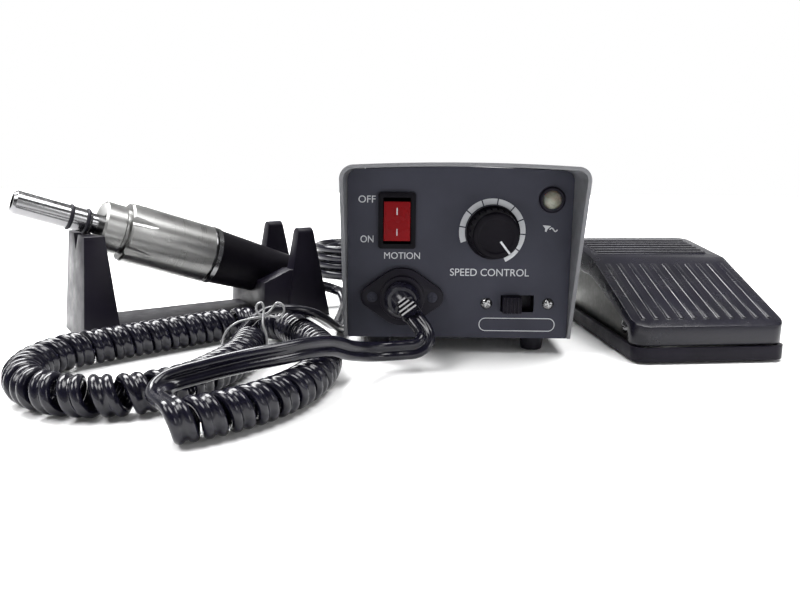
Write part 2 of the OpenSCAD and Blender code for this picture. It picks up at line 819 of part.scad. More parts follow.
module speed_knob() {
    skirt_r = knob_d / 2;
    grip_r = skirt_r - 1;
    top_r = skirt_r - 1.8;
    top = knob_clear + knob_h;
    skirt_h = 2.4;
    recess = bush_out + 0.6;
    color(black_plastic) on_panel(knob_x, knob_up) difference() {
        rotate_extrude() polygon([
            [0, knob_clear], [skirt_r, knob_clear], [skirt_r, knob_clear + skirt_h],
            [grip_r, knob_clear + skirt_h + 0.8], [top_r, top - 0.8], [top_r - 0.8, top],
            [top_r - 2.2, top], [top_r - 2.8, top - 0.4], [0, top - 0.4]
        ]);
        rod(nut_flats / sqrt(3) + 1, knob_clear - over, recess);
        rod(pot_shaft_d / 2 + seat_gap, knob_clear, top - 2.8);
        for (i = [0 : knob_flutes - 1])
            rotate([0, 0, 360 * (i + 0.5) / knob_flutes]) translate([grip_r, 0, knob_clear + skirt_h + 1.2])
                cylinder(r = 0.55, h = knob_h, $fn = 24);
        rotate([0, 0, pointer_angle]) translate([top_r * 0.3, -0.45, top - 0.9])
            cube([top_r, 0.9, 2]);
    }
}

module lamp_bezel() {
    r = lens_d / 2;
    color(black_plastic) on_panel(lamp_x, lamp_up) rotate_extrude() polygon([
        [r + seat_gap, -panel_t - 5], [r + 0.7, -panel_t - 5], [r + 0.7, 0], [r + 1.6, 0],
        [r + 1.6, 0.8], [r + 0.9, 1.6], [r + seat_gap, 1.6]
    ]);
}

module pilot_lens() {
    r = lens_d / 2;
    dome = 0.6 * r;
    ball = (r * r + dome * dome) / (2 * dome);
    color("#d8d4c8") on_panel(lamp_x, lamp_up) {
        rod(r, -panel_t - 5, 1);
        intersection() {
            translate([0, 0, 1 + dome - ball]) sphere(ball);
            rod(r, 0.5, 1 + dome + over);
        }
    }
}

module direction_switch_body() {
    back = -panel_t - slide_bracket_t;
    color(zinc_metal) on_panel(slide_x, slide_up) difference() {
        union() {
            slab(slide_pitch + 7, 8, back, -panel_t);
            slab(slot_w + 5, slot_h + 4, back - 8, back + over / 2);
        }
        slab(slot_w, slot_h, back - 6, over);
        for (s = [-1, 1]) translate([s * slide_pitch / 2, 0, 0]) rod(screw_r + fit_gap, back - over, over);
    }
}

module direction_slider() {
    ribs = 5;
    color(black_plastic) on_panel(slide_x + slider_rest, slide_up) difference() {
        slab(slider_w, slider_h, -panel_t - slide_bracket_t - 5.7, 5);
        for (i = [0 : ribs - 1])
            translate([(i - (ribs - 1) / 2) * slider_w / ribs, 0, 5])
                rotate([90, 0, 0]) cylinder(r = 0.55, h = 2 * slider_h, center = true, $fn = 24);
    }
}

module direction_screws() {
    color(bright_metal) on_panel(slide_x, slide_up)
        for (s = [-1, 1]) translate([s * slide_pitch / 2, 0, 0]) rotate([0, 0, 20 * s])
            screw(2.6, 1.5, screw_r, panel_t + slide_bracket_t + 1.5);
}

// Round flange with two ears: tangent lines join the ear circles to the middle circle
module eared_outline(mid_r, ear_r, reach) {
    a = acos((mid_r - ear_r) / reach);
    circle(mid_r);
    for (s = [-1, 1]) {
        translate([s * reach, 0]) circle(ear_r);
        polygon([
            [s * mid_r * cos(a), mid_r * sin(a)], [s * (reach + ear_r * cos(a)), ear_r * sin(a)],
            [s * (reach + ear_r * cos(a)), -ear_r * sin(a)], [s * mid_r * cos(a), -mid_r * sin(a)]
        ]);
    }
}

module motor_socket() {
    color(black_plastic) on_panel(socket_x, socket_up) difference() {
        union() {
            linear_extrude(socket_flange_t) eared_outline(socket_r, socket_tip_r, socket_pitch / 2);
            rod(socket_rim_r - 0.1, -panel_t - socket_deep, socket_rim_out);
        }
        rod(socket_bore_r, -panel_t - socket_deep + 3, socket_rim_out + over);
        for (s = [-1, 1]) translate([s * socket_pitch / 2, 0, 0])
            rod(screw_r + fit_gap, -over, socket_flange_t + over);
    }
}

module motor_socket_screws() {
    color(charcoal) on_panel(socket_x, socket_up)
        for (s = [-1, 1]) translate([s * socket_pitch / 2, 0, socket_flange_t])
            screw(2.3, 1.2, screw_r, socket_flange_t + panel_t + 3);
}

module fuse_holder() {
    color(black_plastic) on_rear(fuse_x, gland_up) difference() {
        union() {
            rod(fuse_r - 0.1, -fuse_deep, 1);
            rod(fuse_r + 1.5, 0, 2.5);
            rod(fuse_r - 0.6, 2, fuse_out);
        }
        slab(2 * fuse_r, 1.2, fuse_out - 1.5, fuse_out + over);
    }
}

module pedal_socket() {
    color(bright_metal) on_rear(jack_x, jack_up) difference() {
        union() {
            rod(jack_r - 0.1, -jack_deep, jack_out);
            cylinder(r = 6, h = 2, $fn = 6);
        }
        rod(jack_bore_r, 4 - jack_deep, jack_out + over);
    }
}

module mains_gland() {
    color(black_rubber) on_rear(gland_x, gland_up) difference() {
        rotate_extrude() polygon([
            [0, -5], [gland_r + 1.8, -5], [gland_r + 1.8, -panel_t], [gland_r + 0.9, -panel_t],
            [gland_r + 0.9, 0], [gland_r + 2.4, 0], [gland_r + 2.4, 2], [gland_r + 0.6, 3],
            [mains_d / 2 + 0.9, gland_out], [0, gland_out]
        ]);
        for (i = [0 : 3])
            translate([0, 0, 7 + 4 * i]) rotate([0, 0, 90 * (i % 2)])
                for (s = [-1, 1]) translate([s * (gland_r + 2), 0, 0]) slab(4.4, 2 * gland_r, -0.7, 0.7);
    }
}

core_w = 46;
core_h = 38;
core_t = 20;
core_limb = 13;
core_back = 34;
core_y = box_d - core_back;
winding_t = 34;
core_base = foot_h + tray_t;
window_w = (core_w - 2 * core_limb) / 2 - core_limb / 4;
window_h = core_h - core_limb;

module core_window(s, grow) {
    translate([s * (core_limb / 2 + window_w / 2), core_limb / 2 + window_h / 2])
        square([window_w + grow, window_h + grow], center = true);
}

module transformer_core() {
    color("#55565a") in_set() translate([0, 0, core_base]) along_y(core_y - core_t / 2, core_y + core_t / 2)
        difference() {
            translate([-core_w / 2, 0]) square([core_w, core_h]);
            for (s = [-1, 1]) core_window(s, 0);
        }
}

module transformer_winding() {
    slack = 0.3;
    color("#8d6a2e") in_set() translate([0, 0, core_base + core_limb / 2 + slack]) difference() {
        translate([-core_limb / 2 - window_w + slack, core_y - winding_t / 2, 0])
            cube([core_limb + 2 * window_w - 2 * slack, winding_t, window_h - 2 * slack]);
        translate([-core_limb / 2, core_y - core_t / 2, -over])
            cube([core_limb, core_t, window_h + 2 * over]);
    }
}

board_y = 37;
board_w = 74;
board_l = 28;
board_t = 1.6;
standoff_h = 6;
standoff_r = 3;
standoff_in = 4;
standoff_pin_r = 1.45;
standoff_nut_r = 2.6;
standoff_nut_h = 1.6;
board_hole_r = 1.5;
board_up = foot_h + tray_t + standoff_h;

module at_board_corners() {
    for (sx = [-1, 1], sy = [-1, 1])
        translate([sx * (board_w / 2 - standoff_in), board_y + sy * (board_l / 2 - standoff_in), 0])
            children();
}

module control_board() {
    color("#2f6b3c") in_set() difference() {
        translate([-board_w / 2, board_y - board_l / 2, board_up]) cube([board_w, board_l, board_t]);
        at_board_corners() rod(board_hole_r, 0, box_top);
    }
}

module board_standoffs() {
    color(bright_metal) in_set() at_board_corners() {
        rod(standoff_r, foot_h + tray_t, board_up);
        rod(standoff_pin_r, board_up - over, board_up + board_t);
        rod(standoff_nut_r, board_up + board_t, board_up + board_t + standoff_nut_h);
    }
}

capacitor_in = 17;
capacitor_r = 6;
capacitor_h = 20;
capacitor_rim = 0.3;
capacitor_rim_h = 1.5;

module filter_capacitor() {
    color("#22305a") in_set() translate([board_w / 2 - capacitor_in, board_y, board_up + board_t]) {
        cylinder(r = capacitor_r, h = capacitor_h);
        cylinder(r = capacitor_r + capacitor_rim, h = capacitor_rim_h);
    }
}

// Handpiece

module nose_spigot() {
    bore = shaft_r + 1.6;
    end = collar_z + collar_l - 1;
    color(bright_metal) in_hand() difference() {
        rotate_extrude() polygon([
            [0, 0], [nose_r - tip_chamfer, 0], [nose_r, tip_chamfer], [nose_r, neck_z - 1], [neck_r, neck_z],
            [neck_r, shoulder_z], [shoulder_r, shoulder_z], [shoulder_r, end], [0, end]
        ]);
        rod(bore, -over, end + over);
        for (z = o_ring_z)
            tube(nose_r + over, nose_r - o_ring_r - 0.2, z - o_ring_r - 0.1, z + o_ring_r + 0.1);
    }
}

module nose_o_rings() {
    color(black_rubber) in_hand()
        for (z = o_ring_z) translate([0, 0, z])
            rotate_extrude() translate([nose_r + 0.65 - o_ring_r, 0]) circle(o_ring_r, $fn = 24);
}

module front_collar() {
    r = collar_d / 2;
    end = collar_z + collar_l;
    color(satin_metal) in_hand() rotate_extrude() polygon([
        [neck_r + 1.4, shoulder_z], [neck_r + 1.4, shoulder_z - 0.6],
        [r - 1.4, collar_z + 0.4], [r - 1, collar_z],
        [r, collar_z + 1], [r, end - 0.6], [r - 0.6, end], [shoulder_r + seat_gap, end],
        [shoulder_r + seat_gap, shoulder_z]
    ]);
}

module motor_sleeve() {
    boss_r = collar_d / 2 - 1;
    front_wall = 4;
    flute_r = 3.4;
    flute_l = 12;
    flute_deep = 1.5;
    flute_turn = 3;
    end = sleeve_z + sleeve_l;
    color(satin_metal) in_hand() difference() {
        rotate_extrude() polygon([
            [bearing_r + seat_gap, sleeve_z - groove_w], [boss_r, sleeve_z - groove_w], [boss_r, sleeve_z],
            [sleeve_r - 0.8, sleeve_z], [sleeve_r, sleeve_z + 0.8], [sleeve_r, end],
            [sleeve_bore, end], [sleeve_bore, sleeve_z + front_wall],
            [bearing_r + seat_gap, sleeve_z + front_wall]
        ]);
        for (i = [0 : sleeve_flutes - 1])
            rotate([0, 0, 360 * i / sleeve_flutes + flute_turn])
                translate([sleeve_r + flute_r, 0, sleeve_z + flute_l])
                    rotate([0, atan2(flute_deep, flute_l), 0])
                        translate([0, 0, -2 * flute_l]) cylinder(r = flute_r, h = 3 * flute_l);
    }
}

module rear_ring() {
    r = sleeve_r + 0.2;
    color(bright_metal) in_hand() rotate_extrude() polygon([
        [carrier_r + seat_gap, ring_z], [r - 1.6, ring_z], [r - 1.6, ring_z + 1.2], [r, ring_z + 1.5],
        [r, tail_z - 0.3], [r - 0.3, tail_z], [carrier_r + seat_gap, tail_z]
    ]);
}

module tail_shell() {
    wall = 2.2;
    r = tail_end_d / 2;
    hole = 4;
    color(black_plastic) in_hand() rotate_extrude() polygon([
        [tail_r0 - wall, tail_z], [tail_r0, tail_z], [tail_r1, tail_end - 6],
        [r, tail_end - 2], [r - 2.5, tail_end],
        [hole, tail_end], [hole, boot_z], [r - wall - 1, boot_z], [tail_r0 - wall, tail_z + 6]
    ]);
}

module tail_boot() {
    color(black_rubber) in_hand() difference() {
        rotate_extrude() polygon([
            [0, boot_z - 1], [6, boot_z - 1], [6, boot_z], [4 - seat_gap, boot_z], [4 - seat_gap, tail_end],
            [5.6, tail_end], [5.2, tail_end + 2], [4.8, cord_exit], [0, cord_exit]
        ]);
        for (i = [0 : 1])
            translate([0, 0, tail_end + 3.4 + 3 * i]) tube(8, 4.2, 0, 1.2);
    }
}

module bearing(z0) {
    color(bright_metal) in_hand() difference() {
        tube(bearing_r, shaft_r + seat_gap, z0, z0 + bearing_l);
        for (z = [z0 - over, z0 + bearing_l - 0.5])
            tube(bearing_r - 1.2, shaft_r + 1, z, z + 0.5 + over);
    }
}

front_bearing_z = sleeve_z - 1;
rear_bearing_z = tail_z + 14;
commutator_z = motor_z1 + 6;
commutator_r = 3.6;
commutator_l = 9;

module front_bearing() {
    bearing(front_bearing_z);
}

module rear_bearing() {
    bearing(rear_bearing_z);
}

module magnet_ring() {
    color("#4a4b4f") in_hand() tube(sleeve_bore - seat_gap, sleeve_bore - magnet_t, motor_z0, motor_z1);
}

module armature() {
    slots = 7;
    color("#6a5a4a") in_hand() difference() {
        tube(armature_r, shaft_r + seat_gap, motor_z0 + 2, motor_z1 - 2);
        for (i = [0 : slots - 1])
            rotate([0, 0, 360 * i / slots]) translate([armature_r, 0, motor_z0 + 1])
                cylinder(r = 1.1, h = motor_z1 - motor_z0, $fn = 24);
    }
}

// Shaft with the drive dog that turns a fitted attachment
module motor_shaft() {
    dog_z = 6;
    color(bright_metal) in_hand() {
        rod(shaft_r, dog_z + 4, rear_bearing_z + bearing_l + 2);
        difference() {
            rod(shaft_r + 0.9, dog_z, dog_z + 6);
            slab(1.2, 8, dog_z - over, dog_z + 3);
        }
    }
}

module commutator() {
    bars = 7;
    color("#b87333") in_hand() difference() {
        tube(commutator_r, shaft_r + seat_gap, commutator_z, commutator_z + commutator_l);
        for (i = [0 : bars - 1])
            rotate([0, 0, 360 * i / bars]) translate([commutator_r - 0.3, -0.15, commutator_z - over])
                cube([over, 0.3, commutator_l + 2 * over]);
    }
}

brush_w = 3.2;
brush_z = commutator_z + commutator_l / 2;
carrier_r = sleeve_bore - 2.2;
carrier_end = rear_bearing_z + bearing_l;

module brush_carrier() {
    color("#7a3b2a") in_hand() difference() {
        union() {
            tube(carrier_r, commutator_r + 1.2, commutator_z - 1, commutator_z + commutator_l + 2);
            tube(bearing_r + 1.8, bearing_r + seat_gap, commutator_z + commutator_l + 1, carrier_end);
        }
        translate([0, 0, brush_z]) cube([3 * carrier_r, brush_w, brush_w], center = true);
    }
}

module brushes() {
    color("#3c3c3c") in_hand() for (s = [-1, 1])
        translate([s * (commutator_r + fit_gap + 2.4), 0, brush_z])
            cube([4.8, brush_w, brush_w], center = true);
}

// Cradle: nose post with a V notch, base bar and a slotted fork, one moulding

module frustum(x, len_pair, deep_pair, h) {
    translate([x, 0, 0]) intersection() {
        along_y(-deep_pair[0], deep_pair[0]) polygon([
            [-len_pair[0] / 2, 0], [len_pair[0] / 2, 0], [len_pair[1] / 2, h], [-len_pair[1] / 2, h]
        ]);
        along_x(-len_pair[0], len_pair[0]) polygon([
            [-deep_pair[0] / 2, 0], [deep_pair[0] / 2, 0], [deep_pair[1] / 2, h], [-deep_pair[1] / 2, h]
        ]);
    }
}

// Fork seen along the cradle: two prongs with round tips, solid below the slot
module fork_outline() {
    slot = fork_slot / 2;
    foot = fork_deep / 2;
    tip = prong_tip / 2;
    tip_y = foot - 2 - tip;
    for (s = [-1, 1]) {
        translate([s * tip_y, fork_h - tip]) circle(tip);
        polygon([
            [0, 0], [s * foot, 0], [s * (tip_y + tip), fork_h - tip],
            [s * (tip_y - tip), fork_h - tip], [s * slot, slot_up], [0, slot_up]
        ]);
    }
}

// Way of the tail into the fork: its own taper, open to the top
module tail_way() {
    past = 30;
    taper = (tail_r0 - tail_r1) / (tail_end - 6 - tail_z);
    r0 = tail_r0 + taper * past + 0.1;
    r1 = tail_r1 - taper * past + 0.1;
    z0 = tail_z - past;
    z1 = tail_end - 6 + past;
    rotate_extrude() polygon([[0, z0], [r0, z0], [r1, z1], [0, z1]]);
    rotate([0, -90, 0]) linear_extrude(2 * fork_h) polygon([[z0, r0], [z1, r1], [z1, -r1], [z0, -r0]]);
}

module handpiece_cradle() {
    apex = axis_up - notch_r / cos(tilt) / sin(notch_half);
    wide = (post_h - apex + over) * tan(notch_half);
    color(black_plastic) difference() {
        in_cradle() {
            frustum(0, post_len, post_deep, post_h);
            intersection() {
                frustum(cradle_pitch, fork_len, [2 * fork_deep, 2 * fork_deep], fork_h);
                along_x(cradle_pitch - fork_len[0], cradle_pitch + fork_len[0]) fork_outline();
            }
            along_y(-fork_deep / 2 + 2, fork_deep / 2 - 2) polygon([
                [gusset_x[0], 0], [gusset_x[1], gusset_up[0]], [gusset_x[2], gusset_up[1]],
                [cradle_pitch, gusset_up[1]], [cradle_pitch, 0]
            ]);
            translate([0, -bar_w / 2, 0]) cube([cradle_pitch, bar_w, bar_h]);
        }
        in_cradle() along_x(-post_len[0], post_len[0])
            polygon([[0, apex], [wide, post_h + over], [-wide, post_h + over]]);
        in_cradle() along_x(relief_x, post_len[0]) {
            translate([0, relief_up]) circle(relief_r);
            translate([-relief_r, relief_up]) square([2 * relief_r, post_h]);
        }
        in_hand() tail_way();
    }
}

// Pedal

module pedal_base() {
    wall = 2;
    color(black_plastic) in_pedal() translate([0, pedal_l / 2, 0]) difference() {
        rounded_slab(pedal_w, pedal_l, pedal_corner, pad_h, base_top);
        rounded_slab(pedal_w - 2 * wall, pedal_l - 2 * wall, pedal_corner - wall,
            pad_h + wall, base_top + over);
        translate([0, pedal_l / 2, pad_h + wall + 2]) rotate([90, 0, 0]) rod(2.2, -over, wall + over);
    }
}

bracket_floor = pad_h + 2;
bracket_y0 = 5;
bracket_end = 8;
bracket_y1 = pedal_l - bracket_end;
cheek_drop = 6.2;
cheek_fall = 0.5;
cheek_top = treadle_top - treadle_wall - cheek_drop;

module pedal_bracket() {
    color(zinc_metal) in_pedal() difference() {
        union() {
            translate([-cheek_x, bracket_y0, bracket_floor])
                cube([2 * cheek_x, bracket_y1 - bracket_y0, bracket_t]);
            for (x = [-cheek_x, cheek_x - bracket_t]) along_x(x, x + bracket_t)
                polygon([
                    [bracket_y0, bracket_floor], [bracket_y1, bracket_floor],
                    [bracket_y1, cheek_top - cheek_fall],
                    [treadle_slope, cheek_top], [pivot_y + 4, pivot_z + 3.4], [bracket_y0, pivot_z + 2]
                ]);
        }
        for (s = [-1, 1]) translate([s * cheek_x, pivot_y, pivot_z]) rotate([0, 90, 0])
            rod(pivot_r + seat_gap, -2 * bracket_t, 2 * bracket_t);
    }
}

// Side view of the treadle's skin, drawn in by a wall
module treadle_side(in) {
    y0 = treadle_y + in;
    y1 = treadle_y + treadle_l - in;
    bend = treadle_y + treadle_slope + in * 0.17;
    polygon([
        [y0, base_top + treadle_gap - (in > 0 ? over : 0)], [y0, treadle_front - in],
        [bend, treadle_top - in],
        [y1, treadle_top + heel_rise - in], [y1, treadle_top - skirt_h - 4 - (in > 0 ? 2 * treadle_top : 0)],
        [in > 0 ? y0 : bend, in > 0 ? base_top - treadle_top : treadle_top - skirt_h - 4],
        each in > 0 ? [] : [[treadle_y + 9, treadle_front - 2], [treadle_y + 9, base_top + treadle_gap]]
    ]);
}

module treadle_plan(in) {
    translate([0, treadle_y + treadle_l / 2, 0])
        rounded_slab(treadle_w - 2 * in, treadle_l - 2 * in, pedal_corner - in,
            -over, treadle_top + heel_rise + 3);
}

module treadle() {
    rib_h = 0.8;
    slope_a = atan2(slope_rise, treadle_slope);
    slope_l = norm([slope_rise, treadle_slope]);
    heel_a = atan2(heel_rise, heel_l);
    rib_w = treadle_w - 11;
    lug_x = cheek_x - bracket_t - free_gap;
    color(black_plastic) in_pedal() difference() {
        union() {
            difference() {
                intersection() {
                    along_x(-treadle_w / 2, treadle_w / 2) treadle_side(0);
                    treadle_plan(0);
                }
                intersection() {
                    along_x(-treadle_w, treadle_w) treadle_side(treadle_wall);
                    treadle_plan(treadle_wall);
                }
            }
            for (i = [0 : slope_ribs - 1])
                translate([(i / (slope_ribs - 1) - 0.5) * rib_w, treadle_y, treadle_front])
                    rotate([slope_a, 0, 0])
                    translate([-1, 6, -0.4]) cube([2, slope_l - 13, rib_h + 0.4]);
            for (i = [0 : rear_ribs - 1])
                translate([0, treadle_y + treadle_slope, treadle_top]) rotate([heel_a, 0, 0])
                    translate([-rib_w / 2, 8 + i * 5, -0.4]) cube([rib_w, 2.2, rib_h + 0.4]);
            for (s = [-1, 1]) translate([s > 0 ? lug_x - lug_t : -lug_x, 0, 0]) along_x(0, lug_t) {
                translate([pivot_y, pivot_z]) circle(lug_r);
                polygon([
                    [pivot_y - lug_r, pivot_z], [pivot_y + lug_r, pivot_z],
                    [pivot_y + lug_r, slope_at(pivot_y + lug_r) - treadle_wall / 2],
                    [pivot_y - lug_r, slope_at(pivot_y - lug_r) - treadle_wall / 2]
                ]);
            }
            translate([0, actuator_y, 0]) rod(4, actuator_foot, heel_at(actuator_y) - treadle_wall / 2);
        }
        for (s = [-1, 1]) translate([s * lug_x, pivot_y, pivot_z]) rotate([0, 90, 0])
            rod(pivot_r + fit_gap, -2 * lug_t, 2 * lug_t);
    }
}

pivot_head_r = 3.4;
pivot_head_h = 1.2;
pivot_proud = 1;

module pivot_screws() {
    color(bright_metal) in_pedal() for (s = [-1, 1])
        translate([s * cheek_x, pivot_y, pivot_z]) rotate([0, s * 90, 0])
            screw(pivot_head_r, pivot_head_h, pivot_r, bracket_t + free_gap + lug_t + pivot_proud);
}

spring_back = 28;
spring_y = treadle_y + treadle_slope + spring_back;
spring_r = 5;
spring_wire = 1.2;
spring_turns = 6;
spring_rings = 10;
spring_z0 = bracket_floor + bracket_t + spring_wire / 2 + 0.1;
spring_z1 = heel_at(spring_y - spring_r) - treadle_wall - spring_wire / 2 - 0.3;

module return_spring() {
    steps = spring_turns * spring_rings;
    p = [for (i = [0 : steps]) let (a = 360 * i / spring_rings)
        [spring_r * cos(a), spring_y + spring_r * sin(a), spring_z0 + (spring_z1 - spring_z0) * i / steps]];
    color(bright_metal) in_pedal() round_sweep(p, spring_wire, 5);
}

module pedal_switch() {
    pin_top = actuator_foot - (actuator_y + 4 - pivot_y) * sin(treadle_swing) - 1;
    top = pin_top - 1.6;
    color("#2a2a2c") in_pedal() translate([0, actuator_y, 0]) {
        slab(10, 20, bracket_floor + bracket_t, top);
        rod(1.6, top - over, pin_top);
    }
}

module pedal_pads() {
    color(black_rubber) in_pedal() for (sx = [-1, 1], y = [10, pedal_l - 10])
        translate([sx * (pedal_w / 2 - 10), y, 0]) cylinder(r = 5, h = pad_h);
}

module pedal_gland() {
    color(black_rubber) in_pedal() translate([0, pedal_l, pad_h + 4]) rotate([90, 0, 180]) difference() {
        union() {
            rod(2.15, -2.6, 1);
            rod(3, 0, 2.5);
        }
        rod(1.4, -5, 4);
    }
}

// Cords

module motor_plug() {
    color(black_plastic) {
        on_panel(socket_x, socket_up) rotate_extrude() polygon([
            [0, -6], [socket_bore_r - 0.2, -6], [socket_bore_r - 0.2, socket_rim_out],
            [plug_r, socket_rim_out],
            [plug_r, plug_out - 2], [plug_r - 1.5, plug_out], [0, plug_out]
        ]);
        in_set() translate(boot_foot) rotate([0, acos(boot_world[2]), atan2(boot_world[1], boot_world[0])])
            rotate_extrude() polygon([
                [0, -2], [boot_r, -2], [boot_r, 3], [boot_r - 0.9, 3.6], [boot_r - 0.2, 4.4],
                [boot_r - 0.2, 5.6], [boot_r - 1, 6.2], [boot_r - 0.4, 7], [boot_r - 0.4, 8.2],
                [boot_r - 1, 8.8], [boot_r - 1, boot_l],
                [0, boot_l]
            ]);
    }
}

module twin_lead(p, t0, t1, w_end, twist_start) {
    t = end_tangents(p, t0, t1);
    m = len(p) - 1;
    rev = [for (i = [m : -1 : 0]) t[i]];
    back = carried(rev, w_end);
    w = [for (i = [0 : m]) turned(back[m - i], t[i], twist_start * (1 - eased(i, m)))];
    sweep(p, t, w, twin_outline, twin_cap);
}

module motor_lead() {
    color(black_rubber) in_set() twin_lead(motor_lead_p, boot_world, curl_t[0], curl_w[0], lead_twist);
}

module curly_cord() {
    color(black_rubber) in_set() sweep(curl_p, curl_t, curl_w, twin_outline, twin_cap);
}

module handpiece_lead() {
    p = [for (i = [len(hand_lead_p) - 1 : -1 : 0]) hand_lead_p[i]];
    color(black_rubber) in_set() twin_lead(p, hand_dir, -last(curl_t), last(curl_w), 0);
}

// Twisted wire tie over the end of the inner leg, its two tails curled up
tie_wire = 1.2;
tie_p = [
    [-99.5, -17, 2], [-99.8, -17, 8], [-98.5, -17, 13], [-95, -16.5, 16.4], [-91.5, -15, 17.2],
    [-89, -12.5, 18.4], [-90, -10, 20.2], [-92.5, -11, 20.6], [-92.6, -14, 19.6], [-90.5, -16, 18.8],
    [-87, -17, 17.2], [-83.4, -17, 14.4], [-81.2, -17, 9], [-81.2, -17, 2]
];

module cord_tie() {
    color("#b9bcc0") in_set() round_sweep(tie_p, tie_wire, 6);
}

module mains_lead() {
    color(black_rubber) in_set() round_sweep(mains_p, mains_d, 8, [0, 1, 0], [-1, 0, 0]);
}

module mains_hank() {
    color(black_rubber) in_set() round_sweep(hank_p, mains_d, 6);
}

module mains_plug() {
    end = last(hank_p);
    plug_turn = atan2(plug_dir[1], plug_dir[0]);
    color(black_plastic) in_set() translate(end) rotate([0, 0, plug_turn]) rotate([0, 90, 0]) {
        rotate_extrude() polygon([
            [0, 0], [mains_d / 2 + 1, 0], [mains_d / 2 + 1.4, 10], [0, 10]
        ]);
        slab(5, 13, 10, 34);
        for (s = [-1, 1]) translate([0, s * 4, 0]) rod(2, 34, 52);
    }
}

module hank_tie() {
    band = 3;
    thick = 1.2;
    w = 2 * (hank_out - hank_waist) + mains_d + 1;
    h = hank_layers * hank_step + 0.2;
    color("#b9bcc0") in_set() translate([hank_x, hank_y, 0]) along_x(-band / 2, band / 2) difference() {
        translate([-w / 2 - thick, 0]) square([w + 2 * thick, h + thick]);
        translate([-w / 2, -over]) square([w, h + over]);
    }
}

top_cover();
base_tray();
front_panel();
rear_panel();
box_feet();
cover_screws();
power_switch_body();
power_rocker();
speed_pot();
pot_nut();
pot_shaft();
speed_knob();
lamp_bezel();
pilot_lens();
direction_switch_body();
direction_slider();
direction_screws();
motor_socket();
motor_socket_screws();
fuse_holder();
pedal_socket();
mains_gland();
transformer_core();
transformer_winding();
control_board();
board_standoffs();
filter_capacitor();
nose_spigot();
nose_o_rings();
front_collar();
motor_sleeve();
rear_ring();
tail_shell();
tail_boot();
front_bearing();
rear_bearing();
magnet_ring();
armature();
motor_shaft();
commutator();
brush_carrier();
brushes();
handpiece_cradle();
pedal_base();
pedal_bracket();
treadle();
pivot_screws();
return_spring();
pedal_switch();
pedal_pads();
pedal_gland();
motor_plug();
motor_lead();
curly_cord();
handpiece_lead();
cord_tie();
mains_lead();
mains_hank();
mains_plug();
hank_tie();
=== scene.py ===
import json
import math

import bmesh
import bpy
from mathutils import Matrix, Vector


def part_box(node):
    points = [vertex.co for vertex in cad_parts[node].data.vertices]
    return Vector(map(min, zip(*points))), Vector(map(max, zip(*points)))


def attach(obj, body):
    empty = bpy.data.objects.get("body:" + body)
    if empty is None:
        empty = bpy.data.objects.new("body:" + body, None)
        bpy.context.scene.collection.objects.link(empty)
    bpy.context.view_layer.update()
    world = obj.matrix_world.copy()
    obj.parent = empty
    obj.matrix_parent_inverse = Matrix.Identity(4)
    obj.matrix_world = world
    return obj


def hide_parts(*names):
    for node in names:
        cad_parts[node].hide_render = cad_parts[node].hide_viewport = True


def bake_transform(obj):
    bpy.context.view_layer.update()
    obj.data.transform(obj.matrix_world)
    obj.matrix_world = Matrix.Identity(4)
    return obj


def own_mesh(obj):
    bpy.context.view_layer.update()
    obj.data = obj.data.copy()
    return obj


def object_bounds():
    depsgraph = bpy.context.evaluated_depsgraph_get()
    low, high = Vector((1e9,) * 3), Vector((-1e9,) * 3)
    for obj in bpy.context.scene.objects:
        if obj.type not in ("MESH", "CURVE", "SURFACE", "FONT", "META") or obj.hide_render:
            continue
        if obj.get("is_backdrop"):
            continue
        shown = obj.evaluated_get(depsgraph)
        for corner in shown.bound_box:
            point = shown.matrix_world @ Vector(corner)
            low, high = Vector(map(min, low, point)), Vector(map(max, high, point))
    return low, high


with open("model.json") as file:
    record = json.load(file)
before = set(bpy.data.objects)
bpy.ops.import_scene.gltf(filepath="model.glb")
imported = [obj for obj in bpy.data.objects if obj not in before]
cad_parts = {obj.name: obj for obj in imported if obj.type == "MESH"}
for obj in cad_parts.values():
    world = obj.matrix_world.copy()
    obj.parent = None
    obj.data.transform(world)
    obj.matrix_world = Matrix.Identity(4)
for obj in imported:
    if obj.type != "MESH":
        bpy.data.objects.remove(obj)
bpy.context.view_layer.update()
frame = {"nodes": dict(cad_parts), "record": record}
nodes = frame["nodes"]
slot_of = {p["node"]: p["material_slot"] for p in frame["record"]["subparts"]}
body_of = {n: b for b, ns in frame["record"]["behaviour"]["bodies"].items() for n in ns}

# Places are given in millimetres from the middle of the panel's face, on the table
MM = 0.001
FOOT_H = 7.5
panel_low, panel_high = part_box("front_panel")
ORIGIN = Vector(((panel_low.x + panel_high.x) / 2, panel_low.y, 0))


def at(x, y, z):
    return ORIGIN + Vector((x, y, z)) * MM


def add_object(name, data, body=None):
    """New object in the scene, which rides the body if one is given."""
    obj = bpy.data.objects.new(name, data)
    bpy.context.scene.collection.objects.link(obj)
    if body:
        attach(obj, body)
    return obj


def mesh_of(bm, name, material):
    """Mesh with one material from a bmesh, which is freed."""
    mesh = bpy.data.meshes.new(name)
    bm.to_mesh(mesh)
    bm.free()
    mesh.materials.append(material)
    return mesh


# Camera, fitted to the photograph's frame of 800 by 597

